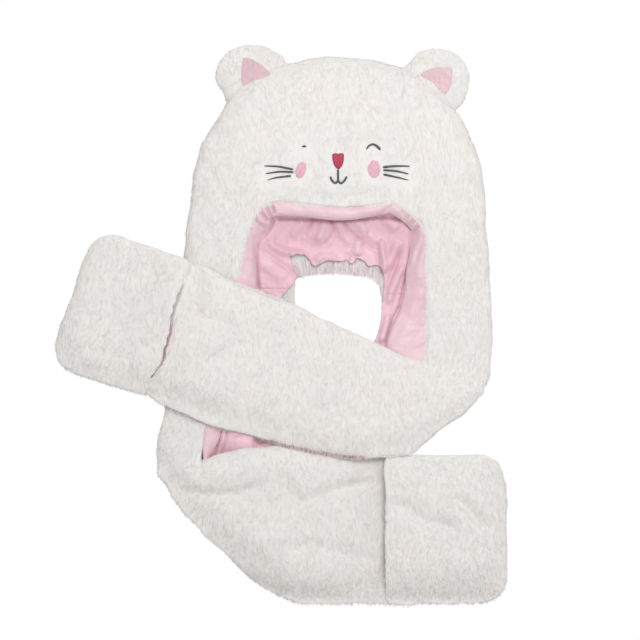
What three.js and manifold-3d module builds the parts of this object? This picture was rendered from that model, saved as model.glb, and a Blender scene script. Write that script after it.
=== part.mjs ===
// Plush animal hood with two scarf arms, lying face up with its arms folded over and crossed.
// Millimetres. +X to the right, +Y towards the crown, +Z up from the surface that it lies on.
// The origin is on the flat underside of the hood, under the forehead.
import * as THREE from "three";
import { mergeVertices } from "three/addons/utils/BufferGeometryUtils.js";
import Module from "manifold-3d";

const wasm = await Module();
wasm.setup();

// Cloth
const sewnGap = 0.4; // left between two pieces that touch
const furWall = 9; // backing and pile
const liningWall = 2;
const patchWall = 1.6; // embroidery and appliqué

// Hood, a flat pouch that is open at the neck
const hoodWidth = 284; // at the temples
const crownLength = 145; // temples to crown
const crownLean = -2; // its middle from the centre line
const templesY = -39;
const neckDrop = 88; // temples to the seam where the arms begin
const hoodLoft = 50; // full height at the forehead
const crownSquareness = 2.08; // of its outline
const hoodSquareness = 3; // of its sections

// Openings
const faceWidth = 176;
const facingWidth = 18; // lining that shows inside the fur's edge
const neckWidth = 88;
const neckTrim = 15; // fur that shows past the lining at the neck
const hemRuffle = 3.5; // waves in the lining's hem there
const casingLoft = 10; // gathered roll round the face
const casingWidth = 13;
const casingGathers = 24;
const gatherDepth = 0.12; // share of the roll
const casingSink = 0.36; // its middle under the fur's top, as a share of its loft

// Arms
const armWidth = 140;
const armLoft = 19;
const overLength = 381; // fold to pocket end
const underLength = 275;
const overHeading = 160.9; // degrees from +X
const underHeading = 1.1;
const overFold = { x: 105, y: -248, slant: 34.4, bulge: 2 }; // middle of its edge
const underFold = { x: -114, y: -356, slant: 45, bulge: 12 };
const sheetMargin = 6; // fur past the lining along an arm
const armCorner = 22;

// Pockets
const overPocket = 95; // mouth to pocket end
const underPocket = 116;
const pocketLoft = 28; // an arm's underside to its pocket's top
const pocketWall = 8;
const pocketMargin = 12; // sewn edge

// Ears
const earRadius = 33;
const earLoft = 20;

// Embroidered face
const motifSpan = 139; // whisker tip to whisker tip
const noseX = -1.5;
const noseY = 4;
const threadWidth = 2.4;

const halfHood = hoodWidth / 2;
const seamY = templesY - neckDrop;
const liningInset = furWall + sewnGap;
const foldLevel = liningInset + liningWall; // top of the lining in a leg that lies flat
const furAbove = liningWall + sewnGap; // from an arm's underside to its fur

// Sections below the temples. down: share of the neck drop, left and right: shares of half the
// hood's width, height: share of the hood's loft.
const lowerRows = [
  { down: 5.6, left: 1.16, right: 0.9, height: 0.52 },
  { down: 3.6, left: 1.2, right: 0.9, height: 0.54 },
  { down: 2.9, left: 1.22, right: 0.93, height: 0.55 },
  { down: 2.1, left: 1.2, right: 0.99, height: 0.53 },
  { down: 1.8, left: 1.17, right: 1.028, height: 0.53 },
  { down: 1.4, left: 1.115, right: 1.036, height: 0.53 },
  { down: 1, left: 1.065, right: 1.034, height: 0.58 },
  { down: 0.5, left: 1.045, right: 1.01, height: 0.72 },
];

// Sections from the temples to the crown. up: share of the crown's length.
const crownRows = [
  { up: 0, height: 0.86 },
  { up: 0.2, height: 0.96 },
  { up: 0.4, height: 1 },
  { up: 0.58, height: 1 },
  { up: 0.72, height: 0.98 },
  { up: 0.83, height: 0.95 },
  { up: 0.91, height: 0.92 },
  { up: 0.965, height: 0.9 },
  { up: 0.995, height: 0.88 },
];

// The fur's edge round the face, from the left arm to the right one. across: share of half the
// face's width, down: share of the neck drop below the temples.
const faceRows = [
  { across: -1.56, down: 3.3 },
  { across: -1.51, down: 2.85 },
  { across: -1.46, down: 2.4 },
  { across: -1.27, down: 1.6 },
  { across: -1.11, down: 0.84 },
  { across: -1.02, down: 0.37 },
  { across: -0.95, down: 0.1 },
  { across: -0.79, down: -0.03 },
  { across: -0.34, down: -0.02 },
  { across: 0, down: 0.015 },
  { across: 0.4, down: -0.01 },
  { across: 0.62, down: -0.02 },
  { across: 0.82, down: 0.08 },
  { across: 0.94, down: 0.26 },
  { across: 0.95, down: 0.6 },
  { across: 0.97, down: 1.2 },
  { across: 0.96, down: 1.9 },
  { across: 0.96, down: 2.4 },
];

// The fur's edge at the nape and down the inside of both arms, with the same columns: across is a
// share of half the neck's width.
const neckRows = [
  { across: -1.15, down: 5 },
  { across: -0.75, down: 3.4 },
  { across: -0.6, down: 2.75 },
  { across: -0.9, down: 2 },
  { across: -1, down: 1.1 },
  { across: -0.95, down: 0.82 },
  { across: -0.76, down: 0.73 },
  { across: 0, down: 0.71 },
  { across: 0.78, down: 0.76 },
  { across: 0.97, down: 0.87 },
  { across: 0.96, down: 1.2 },
  { across: 1.03, down: 1.85 },
  { across: 1.46, down: 2.72 },
  { across: 1.5, down: 5 },
];

// Sections along each arm past its fold. along: share of its length, upper and lower: reach to
// each side as shares of its width, base: underside in shares of the level on top of a leg, loft:
// share of the arm's loft.
const overRows = [
  { along: 0, upper: 0.305, lower: 0.31, base: 1, loft: 1 },
  { along: 0.1, upper: 0.33, lower: 0.38, base: 1, loft: 1.05 },
  { along: 0.2, upper: 0.345, lower: 0.44, base: 1, loft: 1.05 },
  { along: 0.3, upper: 0.365, lower: 0.475, base: 1.04, loft: 1.02 },
  { along: 0.4, upper: 0.385, lower: 0.5, base: 1.06, loft: 1 },
  { along: 0.5, upper: 0.41, lower: 0.53, base: 1.2, loft: 1 },
  { along: 0.57, upper: 0.43, lower: 0.54, base: 2, loft: 1 },
  { along: 0.64, upper: 0.455, lower: 0.53, base: 2.4, loft: 0.9 },
  { along: 0.7, upper: 0.48, lower: 0.515, base: 2.2, loft: 0.6 },
  { along: 0.74, upper: 0.488, lower: 0.508, base: 1.8, loft: 0.42 },
  { along: 0.79, upper: 0.492, lower: 0.504, base: 1, loft: 0.4 },
  { along: 0.84, upper: 0.491, lower: 0.505, base: 0.35, loft: 0.4 },
  { along: 0.88, upper: 0.488, lower: 0.508, base: 0.05, loft: 0.4 },
  { along: 0.92, upper: 0.485, lower: 0.511, base: 0, loft: 0.4 },
  { along: 1, upper: 0.478, lower: 0.515, base: 0, loft: 0.38 },
];
const underRows = [
  { along: 0, upper: 0.44, lower: 0.455, base: 1, loft: 1 },
  { along: 0.08, upper: 0.53, lower: 0.472, base: 1, loft: 1.05 },
  { along: 0.17, upper: 0.58, lower: 0.474, base: 1, loft: 1.1 },
  { along: 0.25, upper: 0.585, lower: 0.48, base: 1, loft: 1.05 },
  { along: 0.33, upper: 0.55, lower: 0.485, base: 0.95, loft: 1 },
  { along: 0.42, upper: 0.52, lower: 0.488, base: 0.35, loft: 1 },
  { along: 0.48, upper: 0.52, lower: 0.492, base: 0.05, loft: 0.85 },
  { along: 0.54, upper: 0.532, lower: 0.496, base: 0, loft: 0.58 },
  { along: 0.57, upper: 0.536, lower: 0.498, base: 0, loft: 0.42 },
  { along: 0.7, upper: 0.538, lower: 0.5, base: 0, loft: 0.4 },
  { along: 0.85, upper: 0.536, lower: 0.5, base: 0, loft: 0.4 },
  { along: 1, upper: 0.53, lower: 0.5, base: 0, loft: 0.38 },
];

// Height of a pocket over its arm's underside. into: share of its depth, height: share of its loft.
const pocketRows = [
  { into: 0, height: 0.94 },
  { into: 0.12, height: 0.97 },
  { into: 0.35, height: 1 },
  { into: 0.7, height: 1 },
  { into: 0.9, height: 0.95 },
  { into: 1, height: 0.8 },
];

// Ears. across: share of half the hood's width, up: share of the crown's length above the temples.
const ears = [
  { side: "left", across: -0.6, up: 0.86 },
  { side: "right", across: 0.655, up: 0.835 },
];

// Corners of the patch on each ear, as shares of its radius from its centre.
const patchCorners = {
  left: [
    { x: -0.24, y: -0.26 },
    { x: 0.12, y: -0.02 },
    { x: 0.6, y: 0.1 },
    { x: 0.42, y: 0.4 },
    { x: 0.1, y: 0.56 },
    { x: -0.2, y: 0.6 },
    { x: -0.3, y: 0.2 },
  ],
  right: [
    { x: 0.24, y: -0.38 },
    { x: 0.42, y: 0.02 },
    { x: 0.42, y: 0.38 },
    { x: 0.12, y: 0.46 },
    { x: -0.16, y: 0.38 },
    { x: -0.48, y: 0.08 },
    { x: -0.12, y: -0.08 },
  ],
};

// The face, as shares of the motif's span from the middle of the nose.
const nose = [
  { x: 0, y: -0.056 },
  { x: 0.03, y: -0.022 },
  { x: 0.039, y: 0.022 },
  { x: 0.03, y: 0.05 },
  { x: 0, y: 0.055 },
  { x: -0.03, y: 0.05 },
  { x: -0.039, y: 0.022 },
  { x: -0.03, y: -0.022 },
];
const mouthStem = [
  { x: 0, y: -0.058 },
  { x: 0.001, y: -0.09 },
  { x: 0.002, y: -0.128 },
];
const mouthSmile = [
  { x: -0.054, y: -0.112 },
  { x: -0.034, y: -0.14 },
  { x: -0.01, y: -0.146 },
  { x: 0.002, y: -0.126 },
  { x: 0.022, y: -0.148 },
  { x: 0.042, y: -0.14 },
  { x: 0.058, y: -0.112 },
];
const cheeks = [
  { side: "left", x: -0.252, y: -0.062, wide: 0.072, high: 0.112 },
  { side: "right", x: 0.252, y: -0.055, wide: 0.087, high: 0.121 },
];
const eye = [
  { x: 0.194, y: 0.084 },
  { x: 0.208, y: 0.1 },
  { x: 0.232, y: 0.112 },
  { x: 0.26, y: 0.103 },
  { x: 0.286, y: 0.082 },
];
const whiskers = [
  { side: "left", from: { x: -0.308, y: -0.058 }, to: { x: -0.5, y: -0.041 } },
  { side: "left", from: { x: -0.308, y: -0.078 }, to: { x: -0.493, y: -0.09 } },
  { side: "left", from: { x: -0.322, y: -0.104 }, to: { x: -0.507, y: -0.138 } },
  { side: "right", from: { x: 0.308, y: -0.041 }, to: { x: 0.497, y: -0.035 } },
  { side: "right", from: { x: 0.308, y: -0.068 }, to: { x: 0.49, y: -0.09 } },
  { side: "right", from: { x: 0.312, y: -0.098 }, to: { x: 0.52, y: -0.14 } },
];

// Main dents pressed into an arm's upper side. along and across place the middle, across being a
// share of the arm's width, positive to its upper edge. run and spread are shares of its width,
// turn is degrees from its length, deep is a share of its loft, negative for a swell.
const overDents = [
  { along: 0.12, across: 0.02, run: 0.35, spread: 0.07, turn: -38, deep: 0.16 },
  { along: 0.33, across: -0.12, run: 0.4, spread: 0.1, turn: 24, deep: 0.14 },
  { along: 0.52, across: 0.1, run: 0.36, spread: 0.12, turn: -30, deep: 0.16 },
  { along: 0.9, across: 0.15, run: 0.3, spread: 0.11, turn: 60, deep: 0.12 },
];
const underDents = [
  { along: 0.16, across: 0.22, run: 0.8, spread: 0.07, turn: 8, deep: 0.3 },
  { along: 0.44, across: 0.1, run: 0.3, spread: 0.09, turn: 28, deep: 0.26 },
  { along: 0.35, across: -0.22, run: 0.5, spread: 0.1, turn: -12, deep: 0.14 },
  { along: 0.78, across: 0.08, run: 0.45, spread: 0.09, turn: -24, deep: 0.26 },
];

// Value of a column at a place, on a straight line between the rows on both sides of it.
function read(rows, key, place, column) {
  const sorted = [...rows].sort((a, b) => a[key] - b[key]);
  const next = sorted.findIndex((row) => row[key] >= place);
  if (next === 0) return sorted[0][column];
  if (next < 0) return sorted.at(-1)[column];
  const [a, b] = [sorted[next - 1], sorted[next]];
  return THREE.MathUtils.lerp(a[column], b[column], (place - a[key]) / (b[key] - a[key]));
}

// Outline of a cloth section as {v, z}: v runs from 1 to -1 over the top and back underneath, where
// it is pressed flat. squareness sets how full its edges are.
function sectionOf(low, rim, high, halfSteps, squareness = hoodSquareness, pressed = 1.2) {
  const points = [];
  for (let step = 0; step < 2 * halfSteps; step++) {
    const turn = Math.PI * (step / halfSteps);
    const v = Math.cos(turn);
    const onTop = step <= halfSteps;
    const power = onTop ? squareness : squareness + 1;
    const rise = Math.pow(1 - Math.pow(Math.abs(v), power), 1 / power);
    const z = onTop ? rim + (high - rim) * rise : Math.max(low, rim - (rim - low) * pressed * rise);
    points.push({ v, z });
  }
  return points;
}

// Closed surface through rings of equal length, each closed by strips from its top to its bottom.
function loft(rings) {
  const count = rings[0].length;
  const faces = [];
  for (let r = 0; r + 1 < rings.length; r++) {
    for (let i = 0; i < count; i++) {
      const [a, b] = [r * count + i, r * count + ((i + 1) % count)];
      faces.push(a, b, b + count, a, b + count, a + count);
    }
  }
  const last = (rings.length - 1) * count;
  for (let i = 0; i < count / 2; i++) {
    const [a, b, c, d] = [i, i + 1, count - i - 1, (count - i) % count];
    if (b !== c) faces.push(a, c, b, last + a, last + b, last + c);
    if (a !== d) faces.push(a, d, c, last + a, last + c, last + d);
  }
  const geometry = new THREE.BufferGeometry();
  const positions = rings.flat().flatMap((p) => [p.x, p.y, p.z]);
  geometry.setAttribute("position", new THREE.Float32BufferAttribute(positions, 3));
  geometry.setIndex(faces);
  return solidFrom(geometry);
}

// A closed mesh as a solid, with its faces turned out.
function solidFrom(geometry) {
  const bare = geometry.clone();
  bare.deleteAttribute("normal");
  bare.deleteAttribute("uv");
  const merged = mergeVertices(bare, 1e-4);
  const vertProperties = merged.attributes.position.array;
  const triVerts = new Uint32Array(merged.index.array);
  const made = new wasm.Manifold(new wasm.Mesh({ numProp: 3, vertProperties, triVerts }));
  if (made.volume() > 0) return made;
  const turned = triVerts.slice();
  for (let i = 0; i < turned.length; i += 3) [turned[i + 1], turned[i + 2]] = [turned[i + 2], turned[i + 1]];
  return new wasm.Manifold(new wasm.Mesh({ numProp: 3, vertProperties, triVerts: turned }));
}

// Upright prism over a plan outline of Vector2.
function prism(outline, low, high) {
  const shape = new THREE.Shape(outline);
  const geometry = new THREE.ExtrudeGeometry(shape, { depth: high - low, bevelEnabled: false, steps: 1 });
  geometry.translate(0, 0, low);
  return solidFrom(geometry);
}

// Half the hood's width and the share of its height that is left, at a share of the crown.
const crownHalf = (up, inset) =>
  (halfHood - inset) * Math.pow(1 - Math.pow(up, crownSquareness), 1 / crownSquareness);
const crownSwell = (up) => Math.pow(1 - Math.pow(up, hoodSquareness), 1 / hoodSquareness);

// The pouch that the hood and the legs of both arms are cut from, taken in by an inset.
const undersidePress = 1.6; // how far the floor flattens the crown's underside
const hoodHalfSteps = 14;
function pouch(inset) {
  const rings = [];
  const addRing = (y, left, right, height, swell) => {
    const [middle, half] = [(right - left) / 2, (right + left) / 2];
    const rim = height / 2;
    const low = Math.max(inset, rim - (rim - inset) * swell * undersidePress);
    const high = rim + (height - inset - rim) * swell;
    const section = sectionOf(low, rim, high, hoodHalfSteps);
    rings.push(section.map(({ v, z }) => new THREE.Vector3(middle + half * v, y, z)));
  };
  for (const row of lowerRows) {
    const y = templesY - row.down * neckDrop;
    addRing(y, halfHood * row.left - inset, halfHood * row.right - inset, hoodLoft * row.height, 1);
  }
  for (const row of crownRows) {
    const y = templesY + (crownLength - inset) * row.up;
    const half = crownHalf(row.up, inset);
    addRing(y, half - crownLean, half + crownLean, hoodLoft * row.height, crownSwell(row.up));
  }
  return loft(rings);
}

// Height of the hood's upper side at a point of the plan.
function hoodTop(x, y) {
  const up = (y - templesY) / crownLength;
  const down = -up * (crownLength / neckDrop);
  const height = hoodLoft * (up > 0 ? read(crownRows, "up", up, "height") : lowerHeight(down));
  const half = crownHalf(Math.max(0, up), 0);
  const sides = up > 0 ? [half - crownLean, half + crownLean] : lowerSides(down);
  const middle = (sides[1] - sides[0]) / 2;
  const v = Math.min(1, (2 * Math.abs(x - middle)) / (sides[1] + sides[0]));
  const swell = up > 0 ? crownSwell(Math.min(1, up)) : 1;
  return height / 2 + (height / 2) * swell * crownSwell(v);
}
const templeRows = [...lowerRows, { down: 0, left: 1, right: 1, height: crownRows[0].height }];
const lowerHeight = (down) => read(templeRows, "down", down, "height");
const lowerSides = (down) => ["left", "right"].map((side) => halfHood * read(templeRows, "down", down, side));

// Smooth edge through table rows, moved sideways by an offset that is positive to its left.
function edgeCurve(rows, width) {
  const points = rows.map(
    (row) => new THREE.Vector3((row.across * width) / 2, templesY - row.down * neckDrop, 0),
  );
  return new THREE.CatmullRomCurve3(points, false, "centripetal");
}
function edgePoints(curve, steps, offsetAt) {
  return Array.from({ length: steps + 1 }, (_, i) => {
    const at = i / steps;
    const [point, along, offset] = [curve.getPointAt(at), curve.getTangentAt(at), offsetAt(at)];
    return new THREE.Vector2(point.x - along.y * offset, point.y + along.x * offset);
  });
}
const faceEdge = edgeCurve(faceRows, faceWidth);
const neckEdge = edgeCurve(neckRows, neckWidth);

// The cuts through the upper and the lower side of the pouch.
const farDown = 6 * neckDrop;
const neckWaves = 17; // along the whole of the neck's edge
const edgeSteps = 40;
function faceCut(inset) {
  const edge = edgePoints(faceEdge, edgeSteps, () => -inset);
  edge.push(new THREE.Vector2(edge.at(-1).x, -farDown), new THREE.Vector2(edge[0].x, -farDown));
  return edge;
}
function neckCut(inset, ruffle = 0) {
  const wave = (at) => inset + ruffle * Math.sin(at * neckWaves * 2 * Math.PI);
  const edge = edgePoints(neckEdge, edgeSteps, wave);
  edge.push(new THREE.Vector2(edge.at(-1).x, -farDown), new THREE.Vector2(edge[0].x, -farDown));
  return edge;
}

// Shell between two insets of the pouch, cut open at the face and at the neck.
function openShell(outer, inner, faceInset, neckInset, ruffle = 0) {
  const shell = pouch(outer).subtract(pouch(inner));
  const splitLevel = foldLevel + 1;
  return shell
    .subtract(prism(faceCut(faceInset), splitLevel, hoodLoft * 2))
    .subtract(prism(neckCut(neckInset, ruffle), -hoodLoft, splitLevel + sewnGap));
}
const furShell = (grow = 0) => openShell(-grow, furWall + grow, grow, -grow);
const liningShell = (grow = 0) =>
  openShell(liningInset - grow, foldLevel + grow, facingWidth + grow, neckTrim - grow, hemRuffle);

// An arm past its fold, in its own plan: u runs along it, v across it.
function makeArm(fold, heading, length, rows, dents, pocket) {
  const turn = THREE.MathUtils.degToRad(heading);
  const along = new THREE.Vector2(Math.cos(turn), Math.sin(turn));
  const upperSide = along.x < 0 ? 1 : -1;
  const side = new THREE.Vector2(along.y, -along.x).multiplyScalar(upperSide);
  const shear = Math.tan(THREE.MathUtils.degToRad(fold.slant));
  const mouth = 1 - pocket / length;
  return { fold, along, side, length, rows, dents, shear, mouth };
}
const shearRun = 0.4; // share of an arm over which its sections turn square to it
function armPlace(arm, s, across) {
  const left = Math.max(0, 1 - s / shearRun);
  const edge = (2 * across) / armWidth;
  const u = s * arm.length - left * (across * arm.shear + arm.fold.bulge * (1 - edge * edge));
  return new THREE.Vector3(
    arm.fold.x + arm.along.x * u + arm.side.x * across,
    arm.fold.y + arm.along.y * u + arm.side.y * across,
    0,
  );
}
const armBase = (arm, s) => foldLevel * read(arm.rows, "along", s, "base");
const armTop = (arm, s) => armBase(arm, s) + furAbove + armLoft * read(arm.rows, "along", s, "loft");

// Share of an arm's reach that is left at a place near its rounded end.
function endTaper(arm, s, corner, reach) {
  const past = Math.max(0, s * arm.length - (arm.length - corner));
  return (reach - corner + Math.sqrt(Math.max(0, corner * corner - past * past))) / reach;
}
function dentDepth(arm, s, across) {
  return arm.dents.reduce((sum, dent) => {
    const turn = THREE.MathUtils.degToRad(dent.turn);
    const du = (s - dent.along) * arm.length;
    const dv = across - dent.across * armWidth;
    const run = (du * Math.cos(turn) + dv * Math.sin(turn)) / (dent.run * armWidth);
    const spread = (dv * Math.cos(turn) - du * Math.sin(turn)) / (dent.spread * armWidth);
    return sum + dent.deep * armLoft * Math.exp(-run * run - spread * spread);
  }, 0);
}

// A stretch of an arm between two heights given along it.
const armStations = [0, 0.015, 0.04, 0.09, 0.15, 0.22, 0.29, 0.36, 0.43, 0.5, 0.56, 0.61, 0.66, 0.7, 0.73];
const endStations = [0, 0.45, 0.75, 0.92, 0.98];
const endRounding = 0.035; // share of an arm over which its end is rounded
const endTrim = 0.0015; // share left off a rounded end
const armRim = 0.42; // height of an arm's edge, as a share of its thickness
const armSquareness = 2.6;
function stationsOf(arm, from, to, cornerShare) {
  const pocketStations = pocketRows.map((row) => arm.mouth + row.into * (1 - arm.mouth));
  const ends = endStations.map((share) => 1 - cornerShare * (1 - share));
  const past = pocketStations.filter((s) => s < 1 - cornerShare);
  const all = [...armStations.filter((s) => s < arm.mouth), ...past, ...ends];
  return [from, ...all.filter((s) => s > from + 0.012 && s < to - 0.004).sort((a, b) => a - b), to];
}
function armPillow(arm, { from = 0, to = 1 - endTrim, low, high, inset = 0, dented, halfSteps = 8 }) {
  const corner = armCorner - inset * 0.5;
  const stations = stationsOf(arm, from, to, armCorner / arm.length);
  const rings = stations.map((s) => {
    const reach = (column) => armWidth * read(arm.rows, "along", s, column) - inset;
    const stretched = s + (inset / arm.length) * Math.max(0, 2 * s - 1);
    const taper = endTaper(arm, Math.min(1, stretched), corner, armWidth / 2);
    const swell = Math.sqrt(1 - Math.pow(1 - Math.min(1, (1 + endTrim - s) / endRounding), 2));
    const foldSwell = from > 0 ? 1 : 0.5 + 0.5 * Math.min(1, s / endRounding);
    const [bottom, top] = [low(s), high(s)];
    const rim = bottom + (top - bottom) * armRim;
    const section = sectionOf(bottom, rim, rim + (top - rim) * swell * foldSwell, halfSteps, armSquareness);
    return section.map(({ v, z }, i) => {
      const across = v > 0 ? v * reach("upper") * taper : v * reach("lower") * taper;
      const place = armPlace(arm, s, across);
      const onTop = i > 0 && i < halfSteps;
      const fade = 1 - Math.pow(Math.abs(v), 4);
      place.z = z - (dented && onTop ? dentDepth(arm, s, across) * fade : 0);
      return place;
    });
  });
  return loft(rings);
}
// A straight-sided block over a stretch of an arm, for cutting.
function armBlock(arm, { from, to, low, high, widen }) {
  const stations = stationsOf(arm, from, Math.min(to, 1), 0.001);
  if (to > 1) stations.push(to);
  const rings = stations.map((s) => {
    const at = Math.min(1, s);
    const [upper, lower] = ["upper", "lower"].map((column) => armWidth * read(arm.rows, "along", at, column) + widen);
    const [bottom, top] = [low(at), high(at)];
    const corners = [
      [upper, (bottom + top) / 2],
      [upper, top],
      [-lower, top],
      [-lower, (bottom + top) / 2],
      [-lower, bottom],
      [upper, bottom],
    ];
    return corners.map(([across, z]) => armPlace(arm, s, across).setZ(z));
  });
  return loft(rings);
}

const overArm = makeArm(overFold, overHeading, overLength, overRows, overDents, overPocket);
const underArm = makeArm(underFold, underHeading, underLength, underRows, underDents, underPocket);

const foldSetback = 2; // a leg stops short of the arm's folded edge
const foldMerge = 0.1; // the lining of a leg and of the arm on it are one cloth
const wrapShare = 0.05; // share of an arm whose fur goes round the fold
// Fur and lining of one leg: the stretch of the pouch between the seam and the arm's fold.
function legPieces(arm, sign) {
  const cutLeg = (shell, setback) => {
    const belowSeam = shell.trimByPlane([0, -1, 0], -(seamY - sewnGap));
    const ownSide = belowSeam.trimByPlane([sign, 0, 0], 0);
    const fold = new THREE.Vector2().subVectors(foldEnd(arm, 1), foldEnd(arm, -1)).normalize();
    const inward = new THREE.Vector2(-fold.y, fold.x);
    if (inward.y < 0) inward.negate();
    const reach = inward.x * arm.fold.x + inward.y * arm.fold.y + setback;
    return ownSide.trimByPlane([inward.x, inward.y, 0], reach);
  };
  const underArmRoom = armBlock(arm, {
    from: 0,
    to: 1.1,
    low: () => foldLevel + sewnGap,
    high: () => hoodLoft * 3,
    widen: -sheetMargin,
  });
  const liningSetback = (wrapShare + 0.01) * arm.length * Math.cos(THREE.MathUtils.degToRad(arm.fold.slant));
  const fur = cutLeg(furShell(), foldSetback).subtract(underArmRoom);
  const lining = (grow) => cutLeg(liningShell(grow), liningSetback - grow).subtract(underArmRoom);
  return { fur, lining };
}
function foldEnd(arm, end) {
  const place = armPlace(arm, 0, (end * armWidth) / 2);
  return new THREE.Vector2(place.x, place.y);
}

// The largest body of a solid, without slivers that a cut leaves.
function mainBody(solid) {
  return solid.decompose().sort((a, b) => b.volume() - a.volume())[0];
}

// One arm: its fur with the leg, its lining, and the pocket on its end with its own lining.
function armPieces(arm, sign, cutters) {
  const leg = legPieces(arm, sign);
  const top = (s) => armTop(arm, s);
  const furLow = (s) => armBase(arm, s) + furAbove;
  const body = armPillow(arm, { low: furLow, high: top, dented: true });
  const wrapTop = (s) => top(s) - armLoft / 3;
  const wrap = armPillow(arm, { from: wrapShare / 20, to: wrapShare, low: () => 0, high: wrapTop, inset: 1 });
  const sheet = (grow) =>
    armPillow(arm, {
      from: wrapShare + 0.01,
      to: 1 - (sheetMargin - grow) / arm.length,
      low: (s) => Math.max(-grow, armBase(arm, s) - foldMerge - grow),
      high: (s) => armBase(arm, s) + liningWall + grow,
      inset: sheetMargin - grow,
      halfSteps: 6,
    });
  const nearGap = sewnGap * 0.75;
  const liningRoom = leg.lining(nearGap).add(sheet(nearGap));
  let furSolid = body.add(leg.fur).add(wrap).subtract(liningRoom);
  let liningSolid = leg.lining(0).add(sheet(0));
  for (const cutter of cutters) {
    furSolid = furSolid.subtract(cutter);
    liningSolid = liningSolid.subtract(cutter);
  }
  const fur = mainBody(furSolid);
  const { panel, panelLining } = pocketPieces(arm);
  const lining = mainBody(liningSolid.subtract(fur));
  return { fur, lining, panel: mainBody(panel.subtract(fur)), panelLining };
}

// The pocket sewn on an arm's end, open to its mouth, and the lining inside it.
function pocketPieces(arm) {
  const into = (s) => (s - arm.mouth) / (1 - arm.mouth);
  const low = (s) => armTop(arm, s) + sewnGap;
  const high = (s) => armBase(arm, s) + pocketLoft * read(pocketRows, "into", Math.max(0, into(s)), "height");
  const whole = armPillow(arm, { from: arm.mouth, low, high, dented: true });
  const room = (from, wall) =>
    armPillow(arm, {
      from,
      to: 1 - (pocketMargin + wall - pocketWall) / arm.length,
      low: (s) => low(s) - pocketWall,
      high: (s) => high(s) - wall,
      inset: pocketMargin + wall - pocketWall,
      halfSteps: 6,
    });
  const beforeMouth = arm.mouth - 0.02;
  const panel = whole.subtract(room(beforeMouth, pocketWall));
  const belowLining = armBlock(arm, {
    from: beforeMouth,
    to: 1,
    low: () => -hoodLoft,
    high: (s) => low(s) + sewnGap,
    widen: 0,
  });
  const seated = pocketWall + sewnGap;
  const panelLining = room(arm.mouth + sewnGap / arm.length, seated)
    .subtract(room(beforeMouth, seated + liningWall))
    .subtract(belowLining);
  return { panel, panelLining: mainBody(panelLining) };
}

const furMaterial = new THREE.MeshStandardMaterial({ color: 0xf0eeea, roughness: 0.95, metalness: 0 });
const liningMaterial = new THREE.MeshStandardMaterial({ color: 0xf0c3cd, roughness: 0.6, metalness: 0 });
const noseMaterial = new THREE.MeshStandardMaterial({ color: 0xc8456a, roughness: 0.6, metalness: 0 });
const cheekMaterial = new THREE.MeshStandardMaterial({ color: 0xe9a9bf, roughness: 0.6, metalness: 0 });
const threadMaterial = new THREE.MeshStandardMaterial({ color: 0x55585a, roughness: 0.7, metalness: 0 });

const scarf = new THREE.Group();

// Adds a solid to the scarf as a named mesh.
function addPiece(name, solid, material) {
  const { vertProperties, triVerts } = solid.getMesh();
  const geometry = new THREE.BufferGeometry();
  geometry.setAttribute("position", new THREE.Float32BufferAttribute(vertProperties, 3));
  geometry.setIndex([...triVerts]);
  const faceted = geometry.toNonIndexed();
  faceted.computeVertexNormals();
  const mesh = new THREE.Mesh(faceted, material);
  mesh.name = name;
  scarf.add(mesh);
}

const aboveSeam = (shell) => mainBody(shell.trimByPlane([0, 1, 0], seamY + sewnGap / 2));
const hoodFur = aboveSeam(furShell());
addPiece("hood_fur", hoodFur, furMaterial);
addPiece("hood_lining", aboveSeam(liningShell()), liningMaterial);

// The roll round the face, gathered on its elastic.
function casingForm(grow) {
  const ends = [0, 1].map((end) => seamShare(end));
  const steps = casingGathers * 2;
  const rings = Array.from({ length: steps + 1 }, (_, i) => {
    const at = THREE.MathUtils.lerp(ends[0], ends[1], i / steps);
    const [point, along] = [faceEdge.getPointAt(at), faceEdge.getTangentAt(at)];
    const fullness = i % 2 === 0 ? 1 : 1 - gatherDepth;
    const section = sectionOf(-casingLoft / 2, 0, casingLoft / 2, 4, 2, 1);
    return section.map(({ v, z }) => {
      const inward = sewnGap + casingWidth / 2 - (casingWidth / 2 + grow) * v * fullness;
      const x = point.x + along.y * inward;
      const y = point.y - along.x * inward;
      const level = hoodTop(point.x, point.y) - casingLoft * casingSink;
      return new THREE.Vector3(x, y, level + (z + Math.sign(z) * grow) * fullness);
    });
  });
  return loft(rings);
}
// Share of the face's edge at which it meets the seam, on the left or the right side.
function seamShare(end) {
  const samples = Array.from({ length: 400 }, (_, i) => (end === 0 ? i : 399 - i) / 399);
  return samples.find((at) => faceEdge.getPointAt(at).y > seamY + 2);
}
const casing = casingForm(0).subtract(liningShell(sewnGap)).subtract(furShell(sewnGap / 2));
addPiece("face_casing", mainBody(casing), liningMaterial);

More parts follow.
